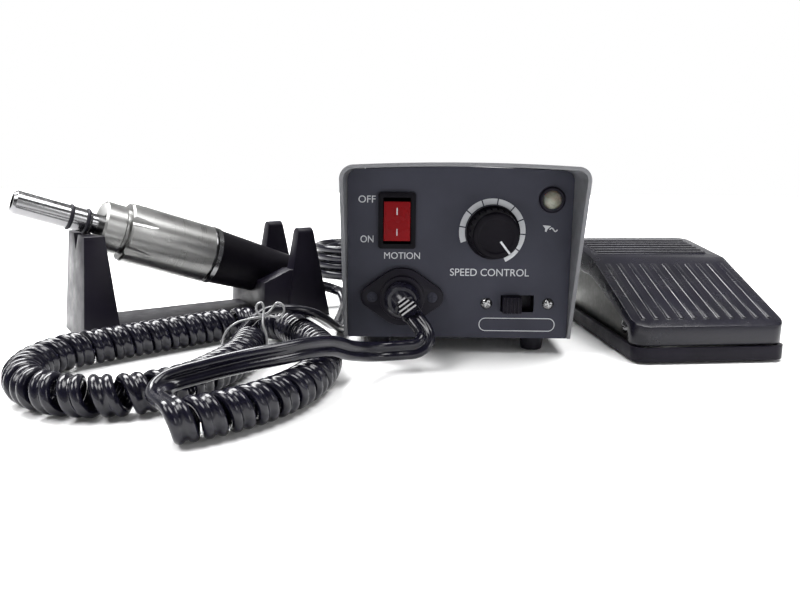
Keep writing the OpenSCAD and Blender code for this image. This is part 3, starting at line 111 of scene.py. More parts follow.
PITCH, ROLL = math.radians(11.73), math.radians(0.6)
FOCAL_PX, PHOTO_PX, SENSOR_W = 760, 800, 36
CAMERA_AT = (-25.4, -326, 92.5)
cam = bpy.data.cameras.new("camera")
cam.sensor_width = SENSOR_W
cam.lens = FOCAL_PX / PHOTO_PX * SENSOR_W
cam.clip_start, cam.clip_end = 0.01, 50
forward = Vector((0, math.cos(PITCH), -math.sin(PITCH)))
level = Vector((1, 0, 0))
upward = level.cross(forward)
right = level * math.cos(ROLL) + upward * math.sin(ROLL)
up = upward * math.cos(ROLL) - level * math.sin(ROLL)
cam_matrix = Matrix((right, up, -forward)).transposed().to_4x4()
cam_matrix.translation = at(*CAMERA_AT)
cam_obj = add_object("camera", cam)
cam_obj.matrix_world = cam_matrix
bpy.context.scene.camera = cam_obj

# Materials

NOISE_LOW, NOISE_HIGH = 0.3, 0.7
CLOUD_DETAIL, PATCH_DETAIL, GRAIN_DETAIL = 4, 5, 2
PATCH_SCALE, PATCH_ROUGH, LEAST_ROUGH = 2.3, 0.6, 0.02
RING_CLOUD, RING_PATCH, RING_DETAIL, RING_DEEP = 90, 160, 4, 0.00003


def ramp(tree, source, stops):
    node = tree.nodes.new("ShaderNodeValToRGB")
    points = node.color_ramp.elements
    while len(points) < len(stops):
        points.new(0.5)
    for point, (place, value) in zip(points, stops):
        point.position = place
        point.color = (*value, 1) if hasattr(value, "__len__") else (value, value, value, 1)
    tree.links.new(source, node.inputs["Fac"])
    return node.outputs["Color"]


def between(tree, source, low, high):
    """Ramp from low to high over the middle of a noise's range."""
    return ramp(tree, source, [(NOISE_LOW, low), (NOISE_HIGH, high)])


def noise(tree, scale, detail, rough=0.55):
    coords = tree.nodes.new("ShaderNodeTexCoord")
    tex = tree.nodes.new("ShaderNodeTexNoise")
    tex.inputs["Scale"].default_value = scale
    tex.inputs["Detail"].default_value = detail
    tex.inputs["Roughness"].default_value = rough
    tree.links.new(coords.outputs["Object"], tex.inputs["Vector"])
    return tex.outputs["Fac"]


def add_bump(tree, shader, height, strength, distance):
    bump = tree.nodes.new("ShaderNodeBump")
    bump.inputs["Strength"].default_value = strength
    bump.inputs["Distance"].default_value = distance
    tree.links.new(height, bump.inputs["Height"])
    tree.links.new(bump.outputs["Normal"], shader.inputs["Normal"])


def new_material(name, metallic):
    material = bpy.data.materials.new(name)
    material.use_nodes = True
    shader = material.node_tree.nodes["Principled BSDF"]
    shader.inputs["Metallic"].default_value = metallic
    return material, material.node_tree, shader


def surface(name, colour, rough, metallic=0.0, spread=0.06, rough_spread=0.08, blotch=60,
            grain=2500, grain_bump=0.15, grain_deep=0.00004, **sockets):
    """Blotches in colour and roughness at the scale of handling, and a fine grain as bump."""
    material, tree, shader = new_material(name, metallic)
    for socket, value in sockets.items():
        shader.inputs[socket.replace("_", " ")].default_value = value
    low = [max(0, c * (1 - spread)) for c in colour]
    high = [min(1, c * (1 + spread)) for c in colour]
    cloud = noise(tree, blotch, CLOUD_DETAIL)
    tree.links.new(between(tree, cloud, low, high), shader.inputs["Base Color"])
    patch = noise(tree, blotch * PATCH_SCALE, PATCH_DETAIL, PATCH_ROUGH)
    smoothest, roughest = max(LEAST_ROUGH, rough - rough_spread), min(1, rough + rough_spread)
    tree.links.new(between(tree, patch, smoothest, roughest), shader.inputs["Roughness"])
    if grain:
        add_bump(tree, shader, noise(tree, grain, GRAIN_DETAIL), grain_bump, grain_deep)
    return material


def turned_metal(name, colour, rough, axis, lines, line_bump):
    """Metal turned on a lathe: fine rings round the axis in roughness and bump."""
    material, tree, shader = new_material(name, 1.0)
    coords = tree.nodes.new("ShaderNodeTexCoord")
    dot = tree.nodes.new("ShaderNodeVectorMath")
    dot.operation = "DOT_PRODUCT"
    dot.inputs[1].default_value = axis
    tree.links.new(coords.outputs["Object"], dot.inputs[0])
    rings = tree.nodes.new("ShaderNodeTexNoise")
    rings.noise_dimensions = "1D"
    rings.inputs["Scale"].default_value = lines
    rings.inputs["Detail"].default_value = RING_DETAIL
    tree.links.new(dot.outputs["Value"], rings.inputs["W"])
    low = [c * 0.9 for c in colour]
    cloud = noise(tree, RING_CLOUD, CLOUD_DETAIL)
    tree.links.new(between(tree, cloud, low, colour), shader.inputs["Base Color"])
    total = tree.nodes.new("ShaderNodeMath")
    total.operation = "ADD"
    tree.links.new(rings.outputs["Fac"], total.inputs[0])
    tree.links.new(noise(tree, RING_PATCH, PATCH_DETAIL), total.inputs[1])
    mean = tree.nodes.new("ShaderNodeMath")
    mean.operation = "MULTIPLY"
    mean.inputs[1].default_value = 0.5
    tree.links.new(total.outputs["Value"], mean.inputs[0])
    tree.links.new(between(tree, mean.outputs["Value"], rough * 0.7, rough * 1.3),
                   shader.inputs["Roughness"])
    add_bump(tree, shader, rings.outputs["Fac"], line_bump, RING_DEEP)
    return material


SURFACES = {
    "grey_paint": dict(
        colour=(0.1, 0.102, 0.11), rough=0.42, spread=0.05, grain=1500, grain_bump=0.35,
        grain_deep=0.00006, Specular_IOR_Level=0.4),
    "charcoal_paint": dict(
        colour=(0.034, 0.0348, 0.0475), rough=0.48, spread=0.06, grain=2000, grain_bump=0.3,
        grain_deep=0.00005, Specular_IOR_Level=0.1),
    "black_plastic": dict(
        colour=(0.006, 0.005, 0.0093), rough=0.4, spread=0.25, rough_spread=0.1, blotch=45,
        grain=2600, grain_bump=0.3, grain_deep=0.00005, Specular_IOR_Level=0.12),
    # Painted shade: a darker, duller copy of black_plastic, for pieces that the dim front leaves in
    # shade
    "dark_plastic": dict(
        colour=(0.003, 0.0025, 0.0042), rough=0.45, spread=0.25, rough_spread=0.1, blotch=45,
        grain=2600, grain_bump=0.3, grain_deep=0.00005, Specular_IOR_Level=0.06),
    "gloss_black": dict(
        colour=(0.0048, 0.0044, 0.009), rough=0.24, spread=0.25, rough_spread=0.07, blotch=40,
        grain=700, grain_bump=0.1, grain_deep=0.00005, Specular_IOR_Level=0.3),
    "black_rubber": dict(
        colour=(0.0065, 0.0058, 0.0105), rough=0.6, spread=0.25, grain=3000, grain_bump=0.35,
        grain_deep=0.00006, Specular_IOR_Level=0.2),
    "cord_sheath": dict(
        colour=(0.0042, 0.0039, 0.0083), rough=0.2, spread=0.25, rough_spread=0.05, blotch=120,
        grain=900, grain_bump=0.03, grain_deep=0.00003, Specular_IOR_Level=0.32),
    "boot_gloss": dict(
        colour=(0.006, 0.0055, 0.01), rough=0.22, spread=0.2, rough_spread=0.04, blotch=120,
        grain=900, grain_bump=0.03, grain_deep=0.00003, Specular_IOR_Level=0.42),
    "red_plastic": dict(
        colour=(0.158, 0.0022, 0.0042), rough=0.3, spread=0.07, grain=1500, grain_bump=0.06,
        Specular_IOR_Level=0.12),
    "zinc_steel": dict(
        colour=(0.17, 0.17, 0.16), rough=0.4, metallic=1.0, spread=0.1, blotch=220, grain=1800,
        grain_bump=0.08),
    "milky_lens": dict(
        colour=(0.2, 0.18, 0.145), rough=0.3, spread=0.12, blotch=500, grain=2500,
        grain_bump=0.1, Subsurface_Weight=0.35, Coat_Weight=0.3),
    "core_steel": dict(
        colour=(0.3, 0.3, 0.31), rough=0.5, metallic=0.8, spread=0.15, grain=1200),
    "copper": dict(
        colour=(0.72, 0.34, 0.16), rough=0.3, metallic=1.0, spread=0.15, blotch=300, grain=1500),
    "board_green": dict(
        colour=(0.03, 0.17, 0.06), rough=0.35, spread=0.2, blotch=300, grain=900),
    "capacitor_blue": dict(colour=(0.02, 0.035, 0.16), rough=0.3, spread=0.1, grain=900),
    "phenolic": dict(colour=(0.16, 0.05, 0.03), rough=0.5, spread=0.2, blotch=300),
    "carbon": dict(colour=(0.03, 0.03, 0.03), rough=0.7, spread=0.2, blotch=400),
    "tie_wire": dict(
        colour=(0.26, 0.26, 0.265), rough=0.3, metallic=0.4, spread=0.1, blotch=300, grain=1200),
    "white_ink": dict(
        colour=(0.42, 0.43, 0.45), rough=0.55, spread=0.05, blotch=400, grain=3000,
        grain_bump=0.1),
}
TILT, YAW = math.radians(19), math.radians(34)
HAND_DIR = Vector((math.cos(YAW) * math.cos(TILT), math.sin(YAW) * math.cos(TILT),
                   -math.sin(TILT)))
made = {name: surface(name, **look) for name, look in SURFACES.items()}
made["chrome"] = turned_metal("chrome", (0.23, 0.23, 0.235), 0.2, HAND_DIR, 3600, 0.02)
made["satin_steel"] = turned_metal("satin_steel", (0.26, 0.26, 0.255), 0.33, HAND_DIR, 5200, 0.04)
for name, obj in nodes.items():
    obj.data.materials.clear()
    obj.data.materials.append(made[slot_of[name]])

# Cords: their routes follow the solids' routes, with smoother folds


def square_to(w, t):
    return (w - t * w.dot(t)).normalized()


def carried(w, along):
    """Wide way w carried along the tangents without twist, one for each."""
    out = []
    for t in along:
        w = square_to(w, t)
        out.append(w)
    return out


def smooth_line(points, steps):
    """Centripetal curve through the points, in so many steps from each to the next."""
    out = []
    m = len(points) - 1
    for i in range(m):
        p1, p2 = points[i], points[i + 1]
        p0 = points[i - 1] if i > 0 else p1 * 2 - p2
        p3 = points[i + 2] if i + 2 <= m else p2 * 2 - p1
        d1 = math.sqrt((p1 - p0).length)
        d2 = math.sqrt((p2 - p1).length)
        d3 = math.sqrt((p3 - p2).length)
        m1 = ((p1 - p0) / d1 - (p2 - p0) / (d1 + d2) + (p2 - p1) / d2) * d2
        m2 = ((p2 - p1) / d2 - (p3 - p1) / (d2 + d3) + (p3 - p2) / d3) * d2
        for k in range(steps):
            f = k / steps
            a, b = 2 * f ** 3 - 3 * f * f + 1, f ** 3 - 2 * f * f + f
            c, d = -2 * f ** 3 + 3 * f * f, f ** 3 - f * f
            out.append(p1 * a + m1 * b + p2 * c + m2 * d)
    out.append(points[-1].copy())
    return out


def tangents(p):
    m = len(p) - 1
    return [(p[min(i + 1, m)] - p[max(i - 1, 0)]).normalized() for i in range(m + 1)]


def eased(f):
    return f * f * (3 - 2 * f)


def tube(name, p, t, w, outline, material, body):
    """One closed tube of the outline along p; the wide way is w."""
    n = len(outline)
    verts = [p[i] + w[i] * a + t[i].cross(w[i]) * b for i in range(len(p)) for a, b in outline]
    faces = [(i * n + k, i * n + (k + 1) % n, (i + 1) * n + (k + 1) % n, (i + 1) * n + k)
             for i in range(len(p) - 1) for k in range(n)]
    faces.append(tuple(range(n - 1, -1, -1)))
    faces.append(tuple((len(p) - 1) * n + k for k in range(n)))
    mesh = bpy.data.meshes.new(name)
    mesh.from_pydata([tuple(v) for v in verts], [], faces)
    mesh.validate()
    for poly in mesh.polygons:
        poly.use_smooth = len(poly.vertices) == 4
    mesh.materials.append(material)
    return add_object(name, mesh, body)


def round_outline(r, n):
    angles = [2 * math.pi * k / n for k in range(n)]
    return [(r * math.cos(a) * MM, r * math.sin(a) * MM) for a in angles]


# Flat twin sheath: two lobes side by side
TWIN_W, TWIN_T = 8.0, 3.8
LOBE = TWIN_T / 2
LOBE_X = TWIN_W / 2 - LOBE
lobe_angles = [math.radians(a) for a in range(-150, 151, 25)]
twin_outline = [((LOBE_X + LOBE * math.cos(a)) * MM, LOBE * math.sin(a) * MM) for a in lobe_angles]
twin_outline += [(-x, -y) for x, y in twin_outline]

# Curls: a helix round a line of stretches, each with its length, bend in degrees and curls
CURL_RUN = [(36, 30, 4), (55, 45, 6.125), (24.4, 17.5, 2.75), (22, 0, 2.625), (40.1, 104.5, 3.375),
            (60, 0, 7.25), (127, 208, 12.75), (10, 0, 1.125), (27, 22, 3), (16, 0, 1.875)]
CURL_START, CURL_HEADING, CURL_PHASE = (-95.0, -106.0), 25.0, 90
CURL_R, CURL_CLEAR, CURL_RINGS = 5.5, 0.2, 32
CURL_UP = CURL_R + TWIN_T / 2 + CURL_CLEAR
CURL_NEAR, CURL_TINY = 0.002, 1e-9


def stretch_end(length, bend, p, h):
    a, b = math.radians(h), math.radians(h + bend)
    if bend == 0:
        return (p[0] + length * math.cos(a), p[1] + length * math.sin(a))
    r = length * 180 / (bend * math.pi)
    return (p[0] + r * (math.sin(b) - math.sin(a)), p[1] + r * (math.cos(a) - math.cos(b)))


curl_places = [(CURL_START, CURL_HEADING, 0.0)]
for length, bend, turns in CURL_RUN:
    p, h, n = curl_places[-1]
    curl_places.append((stretch_end(length, bend, p, h), h + bend, n + turns))
CURL_TURNS = curl_places[-1][2]


def curl_at(n):
    """Place after n curls, and the way out from the helix's line there."""
    i = max(k for k in range(len(CURL_RUN)) if curl_places[k][2] <= n + CURL_TINY)
    (length, bend, turns), (start, heading, before) = CURL_RUN[i], curl_places[i]
    f = (n - before) / turns
    p = stretch_end(length * f, bend * f, start, heading)
    h = math.radians(heading + bend * f)
    a = math.radians(CURL_PHASE + 360 * n)
    radial = Vector((-math.sin(h) * math.cos(a), math.cos(h) * math.cos(a), math.sin(a)))
    return at(p[0], p[1], CURL_UP) + radial * CURL_R * MM, radial


def curl_tangent(n):
    after, before = min(n + CURL_NEAR, CURL_TURNS), max(n - CURL_NEAR, 0)
    return (curl_at(after)[0] - curl_at(before)[0]).normalized()


CURL_STEPS = round(CURL_TURNS * CURL_RINGS)
curl_n = [CURL_TURNS * i / CURL_STEPS for i in range(CURL_STEPS + 1)]
curl_p = [curl_at(n)[0] for n in curl_n]
curl_t = [curl_tangent(n) for n in curl_n]
curl_w = [square_to(t.cross(curl_at(n)[1]), t) for n, t in zip(curl_n, curl_t)]
curl_first = curl_p[0] - curl_t[0] * TWIN_W * MM
curl_final = curl_p[-1] + curl_t[-1] * TWIN_W * MM

# Plain leads from the curls to the plug and to the handpiece
LEAD_STEPS = 10


def lead_line(points, t_first, t_last):
    p = smooth_line(points, LEAD_STEPS)
    t = tangents(p)
    t[0], t[-1] = t_first, t_last
    return p, t


BOOT_LOCAL = Vector((0.5, -0.55, 0.67)).normalized()
BOOT_DIR = Vector((BOOT_LOCAL.x, -BOOT_LOCAL.z, BOOT_LOCAL.y))
BOOT_L = 10
boot_foot = at(-24.5, -10, FOOT_H + 18.5)
boot_end = boot_foot + BOOT_DIR * BOOT_L * MM
motor_mid = [(-14.7, -24.7, 13.8), (-16, -27.1, 11.4), (-19, -28.3, 9.9), (-22.5, -28.2, 9.4),
             (-29, -27.8, 8.7), (-36.5, -31.5, 9.3), (-44, -43, 13), (-50.5, -55, 18),
             (-58, -65.5, 20), (-66.5, -73, 20), (-75.5, -78, 19.4), (-85, -81.8, 18),
             (-92, -84.6, 16.7), (-96.9, -86.6, 15.8), (-100.3, -89.2, 15), (-102, -93.2, 14.1),
             (-101.7, -96.9, 13.5)]
motor_points = [boot_end, boot_end + BOOT_DIR * TWIN_W * MM, *[at(*q) for q in motor_mid],
                curl_first]
motor_p, motor_t = lead_line(motor_points, BOOT_DIR, curl_t[0])
# Its flat side faces the front, and turns up towards the curls
FRONT, SKY, ROLL_FROM = Vector((0.35, -1, 0.2)), Vector((0, 0, 1)), 0.8
motor_w = []
for i, t in enumerate(motor_t):
    share = eased(max(0, i / (len(motor_t) - 1) - ROLL_FROM) / (1 - ROLL_FROM))
    motor_w.append(t.cross(FRONT.lerp(SKY, share)).normalized())

AXIS_X, AXIS_Y, AXIS_UP, TIP_BACK, CORD_EXIT = -173, 29, 54.2, 30, 157.6
nose_tip = at(AXIS_X - TIP_BACK * math.cos(YAW), AXIS_Y - TIP_BACK * math.sin(YAW),
              AXIS_UP + TIP_BACK * math.tan(TILT))
hand_end = nose_tip + HAND_DIR * CORD_EXIT * MM
hand_mid = [(-63.85, 101.1, 9.1), (-58.5, 98.9, 7.2), (-56.25, 93.5, 5), (-55.2, 86.5, 3.2),
            (-54.8, 78, 2.7), (-54.8, 66, 2.6), (-54.8, 52, 2.6), (-54.9, 38, 2.9),
            (-55.6, 27, 4.9), (-57.2, 17, 8.6), (-60.4, 9, 13.4), (-65, 3.2, 17.4),
            (-70.6, -0.6, 19.6), (-76.8, -3, 20.4), (-82.8, -4.8, 19.8)]
hand_points = [hand_end, hand_end + HAND_DIR * TWIN_W * MM, *[at(*q) for q in hand_mid],
               curl_final]
hand_p, hand_t = lead_line(hand_points, HAND_DIR, -curl_t[-1])
hand_w = carried(curl_w[-1], hand_t[::-1])[::-1]

# One unbroken cord from the handpiece through the curls to the plug
cord_p = hand_p[:-1] + [curl_final] + curl_p[::-1] + [curl_first] + motor_p[::-1][1:]
cord_t = hand_t[:-1] + [-t for t in [curl_t[-1], *curl_t[::-1], curl_t[0], *motor_t[::-1][1:]]]
cord_w = hand_w[:-1] + [curl_w[-1]] + curl_w[::-1] + [curl_w[0]] + motor_w[::-1][1:]
motor_cord = tube("motor_cord", cord_p, cord_t, cord_w, twin_outline, made["cord_sheath"], None)
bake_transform(motor_cord)
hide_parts("handpiece_lead", "curly_cord", "motor_lead")

# Mains lead from the gland into its hank behind the box
MAINS_D, MAINS_SIDES, MAINS_STEPS = 5.0, 14, 5
HANK_X, HANK_Y, HANK_RUN, HANK_FOLD, HANK_WAIST = -24, 205, 75, 16, 9
HANK_LAYERS, LAYER_TURNS, LAYER_CLIMB, HANK_RINGS = 4, 1.45, 0.25, 24
HANK_GAP, HANK_CLEAR = 0.7, 0.1
HANK_STEP = MAINS_D + HANK_GAP
HANK_UP = MAINS_D / 2 + HANK_CLEAR
HANK_OUT = HANK_FOLD + HANK_STEP * LAYER_TURNS
HANK_TURNS = HANK_LAYERS * LAYER_TURNS
GLAND_X, GLAND_UP, GLAND_OUT, BOX_D = 36, 14, 24, 116
WIDE_START = Vector((0, 0.3, 1))


def hank_radius(n):
    """Layers wind inwards and outwards in turn."""
    k = math.floor(n / LAYER_TURNS)
    f = n / LAYER_TURNS - k
    return HANK_OUT - HANK_STEP * LAYER_TURNS * (f if k % 2 == 0 else 1 - f)


def hank_level(n):
    """Layer after n turns, with a climb of a quarter turn on each side of a change."""
    k = math.floor(n / LAYER_TURNS + 0.5)
    d = n - k * LAYER_TURNS
    if k == 0 or k == HANK_LAYERS:
        return max(k - 1, 0)
    if abs(d) >= LAYER_CLIMB:
        return k - 1 if d < 0 else k
    return k - 0.5 + d / (2 * LAYER_CLIMB)


def hank_draw(x):
    """How far the waist is drawn in at x along the run."""
    return HANK_WAIST * math.cos(math.pi * x / HANK_RUN) ** 2


def hank_at(n):
    r = hank_radius(n)
    arc = math.pi * HANK_FOLD
    s = (n - math.floor(n)) * 2 * (HANK_RUN + arc)
    if s < HANK_RUN:
        x = s - HANK_RUN / 2
        q = (x, -r + hank_draw(x))
    elif s < HANK_RUN + arc:
        a = (s - HANK_RUN) / arc * math.pi - math.pi / 2
        q = (HANK_RUN / 2 + r * math.cos(a), r * math.sin(a))
    elif s < 2 * HANK_RUN + arc:
        x = HANK_RUN / 2 - (s - HANK_RUN - arc)
        q = (x, r - hank_draw(x))
    else:
        a = (s - 2 * HANK_RUN - arc) / arc * math.pi + math.pi / 2
        q = (-HANK_RUN / 2 + r * math.cos(a), r * math.sin(a))
    return at(HANK_X - q[0], HANK_Y + q[1], HANK_UP + HANK_STEP * hank_level(n))


hank_loops = [hank_at(i / HANK_RINGS) for i in range(round(HANK_TURNS * HANK_RINGS) + 1)]
hank_tail = [(16, 0, -1.2), (30, -2, -6), (42, -7, -12), (52, -15, -15.6), (58, -25, -16.7),
             (60, -36, -16.7)]
tail_points = [hank_loops[-1] + Vector(q) * MM for q in hank_tail]
plug_dir = (tail_points[-1] - tail_points[-2]).normalized()
gland_end = at(GLAND_X, BOX_D + GLAND_OUT, FOOT_H + GLAND_UP)
mains_mid = [(36, 152, 20.2), (35.8, 159, 16.2), (34.8, 165.5, 11), (32.4, 171.8, 6.6),
             (28.5, 176.6, 3.9), (23.6, 179.8, 2.8)]
mains_points = [gland_end, gland_end + Vector((0, MAINS_D, 0)) * MM, *[at(*q) for q in mains_mid],
                hank_loops[0] + Vector((MAINS_D, 0, 0)) * MM, *hank_loops, *tail_points,
                tail_points[-1] + plug_dir * MAINS_D * MM]
mains_p = smooth_line(mains_points, MAINS_STEPS)
mains_t = tangents(mains_p)
mains_cord = tube("mains_cord", mains_p, mains_t, carried(WIDE_START, mains_t),
                  round_outline(MAINS_D / 2, MAINS_SIDES), made["cord_sheath"], "set")
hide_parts("mains_lead", "mains_hank")

# Wire tie over the inner leg of the curls: up one side, a bow on top, down the other side
TIE_R, TIE_SIDES, TIE_STEPS = 0.5, 10, 8
tie_mid = [(-99.5, -17, 1.4), (-99.9, -17, 8), (-98.2, -17, 13.2), (-94.6, -16.2, 16.6),
           (-90, -14.4, 18), (-85.5, -12, 18.6), (-81.4, -10.6, 18.8), (-77.4, -10, 18.4),
           (-74.9, -9.4, 20.4), (-75.6, -8.9, 23.4), (-77.9, -8.9, 24.2), (-79.8, -9.6, 22),
           (-82, -10.8, 19.9), (-84.8, -11.2, 19.5), (-86.4, -10.8, 21.2), (-86, -10.2, 23.8),
           (-84.2, -10, 24.4), (-83.3, -10.8, 22.4), (-83.2, -12.6, 19.4), (-83, -15, 16.4),
           (-81.4, -16.8, 12), (-81.1, -17, 7), (-81.2, -17, 1.4)]
tie_p = smooth_line([at(*q) for q in tie_mid], TIE_STEPS)
tie_t = tangents(tie_p)
tie = tube("wire_tie", tie_p, tie_t, carried(WIDE_START, tie_t), round_outline(TIE_R, TIE_SIDES),
           made["tie_wire"], "set")
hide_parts("cord_tie")

# Rounded copies of moulded and sheet pieces, with small radii on their edges

SAME_PLACE, FLAT_ANGLE = 0.000004, math.radians(0.6)
EDGE_ANGLE, SMOOTH_ANGLE = math.radians(32), math.radians(40)


def bevel(bm, edges, width):
    bmesh.ops.bevel(bm, geom=edges, offset=width * MM, offset_type="OFFSET", segments=2,
                    profile=0.5, affect="EDGES", clamp_overlap=True)


def rounded(node, width):
    bm = bmesh.new()
    bm.from_mesh(nodes[node].data)
    bmesh.ops.remove_doubles(bm, verts=bm.verts, dist=SAME_PLACE)
    bmesh.ops.dissolve_limit(bm, angle_limit=FLAT_ANGLE, verts=bm.verts, edges=bm.edges,
                             delimit=set())
    bevel(bm, [e for e in bm.edges if len(e.link_faces) == 2 and e.calc_face_angle() > EDGE_ANGLE],
          width)
    bmesh.ops.triangulate(bm, faces=[f for f in bm.faces if len(f.verts) > 4])
    for f in bm.faces:
        f.smooth = True
    for e in bm.edges:
        if len(e.link_faces) == 2:
            e.smooth = e.calc_face_angle() < SMOOTH_ANGLE
    mesh = mesh_of(bm, node + "_finished", made[slot_of[node]])
    obj = add_object(node + "_finished", mesh, body_of[node])
    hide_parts(node)
    return obj


ROUNDED = {
    "top_cover": 0.5, "handpiece_cradle": 0.9, "treadle": 0.7, "pedal_base": 0.6,
    "power_switch_body": 0.35, "power_rocker": 0.5, "direction_slider": 0.25,
    "motor_socket": 0.4, "box_feet": 0.5, "mains_plug": 0.8, "speed_knob": 0.12,
    "motor_plug": 0.3, "fuse_holder": 0.3,
}
finished = {node: rounded(node, width) for node, width in ROUNDED.items()}
# Pieces that are glossier than the others of their slot, and pieces made darker than it as painted
# shade
finished["motor_plug"].data.materials[0] = made["gloss_black"]
for piece in (finished["speed_knob"], finished["power_switch_body"], nodes["tail_shell"]):
    piece.data.materials[0] = made["dark_plastic"]

# Flat ribs on the plug's boot, each with its place along the boot and half its width
RIBS = ((3.0, 2.0), (5.0, 2.8), (7.0, 3.9), (9.0, 3.9))
RIB_TOP, RIB_THICK, RIB_EDGE = 5.0, 1.3, 0.25
rib_up = square_to(Vector((-0.33, -0.74, 0.58)), BOOT_DIR)
rib_side = BOOT_DIR.cross(rib_up)
bm = bmesh.new()
for place, half in RIBS:
    for v in bmesh.ops.create_cube(bm, size=1)["verts"]:
        x, y, z = v.co.x * 2 * half, v.co.y * RIB_THICK, (v.co.z + 0.5) * RIB_TOP
        v.co = boot_foot + (rib_side * x + BOOT_DIR * (place + y) + rib_up * z) * MM
bevel(bm, bm.edges[:], RIB_EDGE)
bmesh.ops.recalc_face_normals(bm, faces=bm.faces)
plug_ribs = add_object("plug_boot_ribs", mesh_of(bm, "plug_boot_ribs", made["boot_gloss"]), "set")

# Return spring, as its own copy of the mesh on the set
spring = add_object("return_spring_coil", nodes["return_spring"].data.copy(), "set")
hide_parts("return_spring")
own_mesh(spring)

# Prints on the panel: letters, dial segments, lamp mark and the empty label's outline

ink = made["white_ink"]
INK_OUT = 0.09


def flat_print(name, loops):
    """Flat ink from closed outlines given in panel millimetres: x to the right, z up."""
    bm = bmesh.new()
    for loop in loops:
        bm.faces.new([bm.verts.new(at(x, -INK_OUT, z)) for x, z in loop])
    bm.normal_update()
    for f in bm.faces:
        if f.normal.y > 0:
            f.normal_flip()
    bmesh.ops.triangulate(bm, faces=bm.faces)
    add_object(name, mesh_of(bm, name, ink), "set")


def lettering(name, words, x, z, cap, width):
    """Words as flat ink, centred at x and z, with the given cap height and total width."""
    curve = bpy.data.curves.new(name, "FONT")
    curve.body = words
    curve.size = 1
    curve.resolution_u = 6
    temp = add_object(name + "_curve", curve)
    bpy.context.view_layer.update()
    shaped = temp.evaluated_get(bpy.context.evaluated_depsgraph_get())
    mesh = bpy.data.meshes.new_from_object(shaped)
    bpy.data.objects.remove(temp)
    bpy.data.curves.remove(curve)
    xs = [v.co.x for v in mesh.vertices]
    ys = [v.co.y for v in mesh.vertices]
    sx, sy = width / (max(xs) - min(xs)), cap / (max(ys) - min(ys))
    cx, cy = (max(xs) + min(xs)) / 2, (max(ys) + min(ys)) / 2
    for v in mesh.vertices:
        v.co = at(x + (v.co.x - cx) * sx, -INK_OUT, z + (v.co.y - cy) * sy)
    mesh.materials.clear()
    mesh.materials.append(ink)
    add_object(name, mesh, "set")


lettering("print_off", "OFF", -39.9, 68, 3.0, 7.3)
lettering("print_on", "ON", -39.9, 50.9, 3.0, 5.6)
lettering("print_motion", "MOTION", -24.7, 43.8, 2.9, 15.5)
lettering("print_control", "SPEED CONTROL", 13.4, 36.8, 3.2, 34.3)

KNOB_X, KNOB_Z = 14, FOOT_H + 47
DIAL_EDGES = [201, 171, 141, 110, 81.5, 50, 23, -4, -34.6, -66]
DIAL_OUT, DIAL_IN, DIAL_HALF_GAP, DIAL_STEPS = 14.3, 11.8, 1.2, 10


def dial_place(r, degrees):
    a = math.radians(degrees)
    return (KNOB_X + r * math.cos(a), KNOB_Z + r * math.sin(a))


dial_loops = []
for first, last in zip(DIAL_EDGES, DIAL_EDGES[1:]):
    first, last = first - DIAL_HALF_GAP, last + DIAL_HALF_GAP
    arc = [first + (last - first) * k / DIAL_STEPS for k in range(DIAL_STEPS + 1)]
    dial_loops.append([dial_place(DIAL_OUT, a) for a in arc]
                      + [dial_place(DIAL_IN, a) for a in reversed(arc)])
flat_print("print_dial", dial_loops)


def stroke(points, width):
    """Outline of a line of the given width through the points."""
    left, back = [], []
    for i, (x, z) in enumerate(points):
        x0, z0 = points[max(i - 1, 0)]
        x1, z1 = points[min(i + 1, len(points) - 1)]
        d = math.hypot(x1 - x0, z1 - z0)
        nx, nz = -(z1 - z0) / d * width / 2, (x1 - x0) / d * width / 2
        left.append((x + nx, z + nz))
        back.append((x - nx, z - nz))
    return left + back[::-1]


WAVE_X, WAVE_Z, WAVE_STEP, WAVE_HIGH, WAVE_LINE = 38.6, 55.7, 0.28, 0.75, 0.5
wave = [(WAVE_X + WAVE_STEP * k, WAVE_Z + WAVE_HIGH * math.sin(k * math.pi / 6)) for k in range(13)]
flag = [(35.5, 57.6), (39.2, 57.3), (37.7, 55.9), (37.3, 54.8), (36.6, 54.9), (36.7, 56.2)]
flat_print("print_lamp_mark", [flag, stroke(wave, WAVE_LINE)])

LABEL_X, LABEL_Z, LABEL_W, LABEL_H, LABEL_R, LABEL_LINE = 26.1, 13.6, 33.5, 6, 2.9, 0.35


def label_loop(radius):
    """Outline round the label's four corner centres."""
    places = []
    for qx, qz, start in ((1, 1, 0), (-1, 1, 90), (-1, -1, 180), (1, -1, 270)):
        for k in range(9):
            a = math.radians(start + 90 * k / 8)
            places.append((LABEL_X + qx * (LABEL_W / 2 - LABEL_R) + radius * math.cos(a),
                           LABEL_Z + qz * (LABEL_H / 2 - LABEL_R) + radius * math.sin(a)))
    return places


outer, inner = label_loop(LABEL_R), label_loop(LABEL_R - LABEL_LINE)
flat_print("print_label_outline", [[outer[i - 1], outer[i], inner[i], inner[i - 1]]
                                   for i in range(len(outer))])


def strip(name, corners, body):
    """Flat painted mark from four corner places."""
    mesh = bpy.data.meshes.new(name)
    mesh.from_pydata([tuple(c) for c in corners], [], [tuple(range(len(corners)))])
    mesh.materials.append(ink)
    add_object(name, mesh, body)


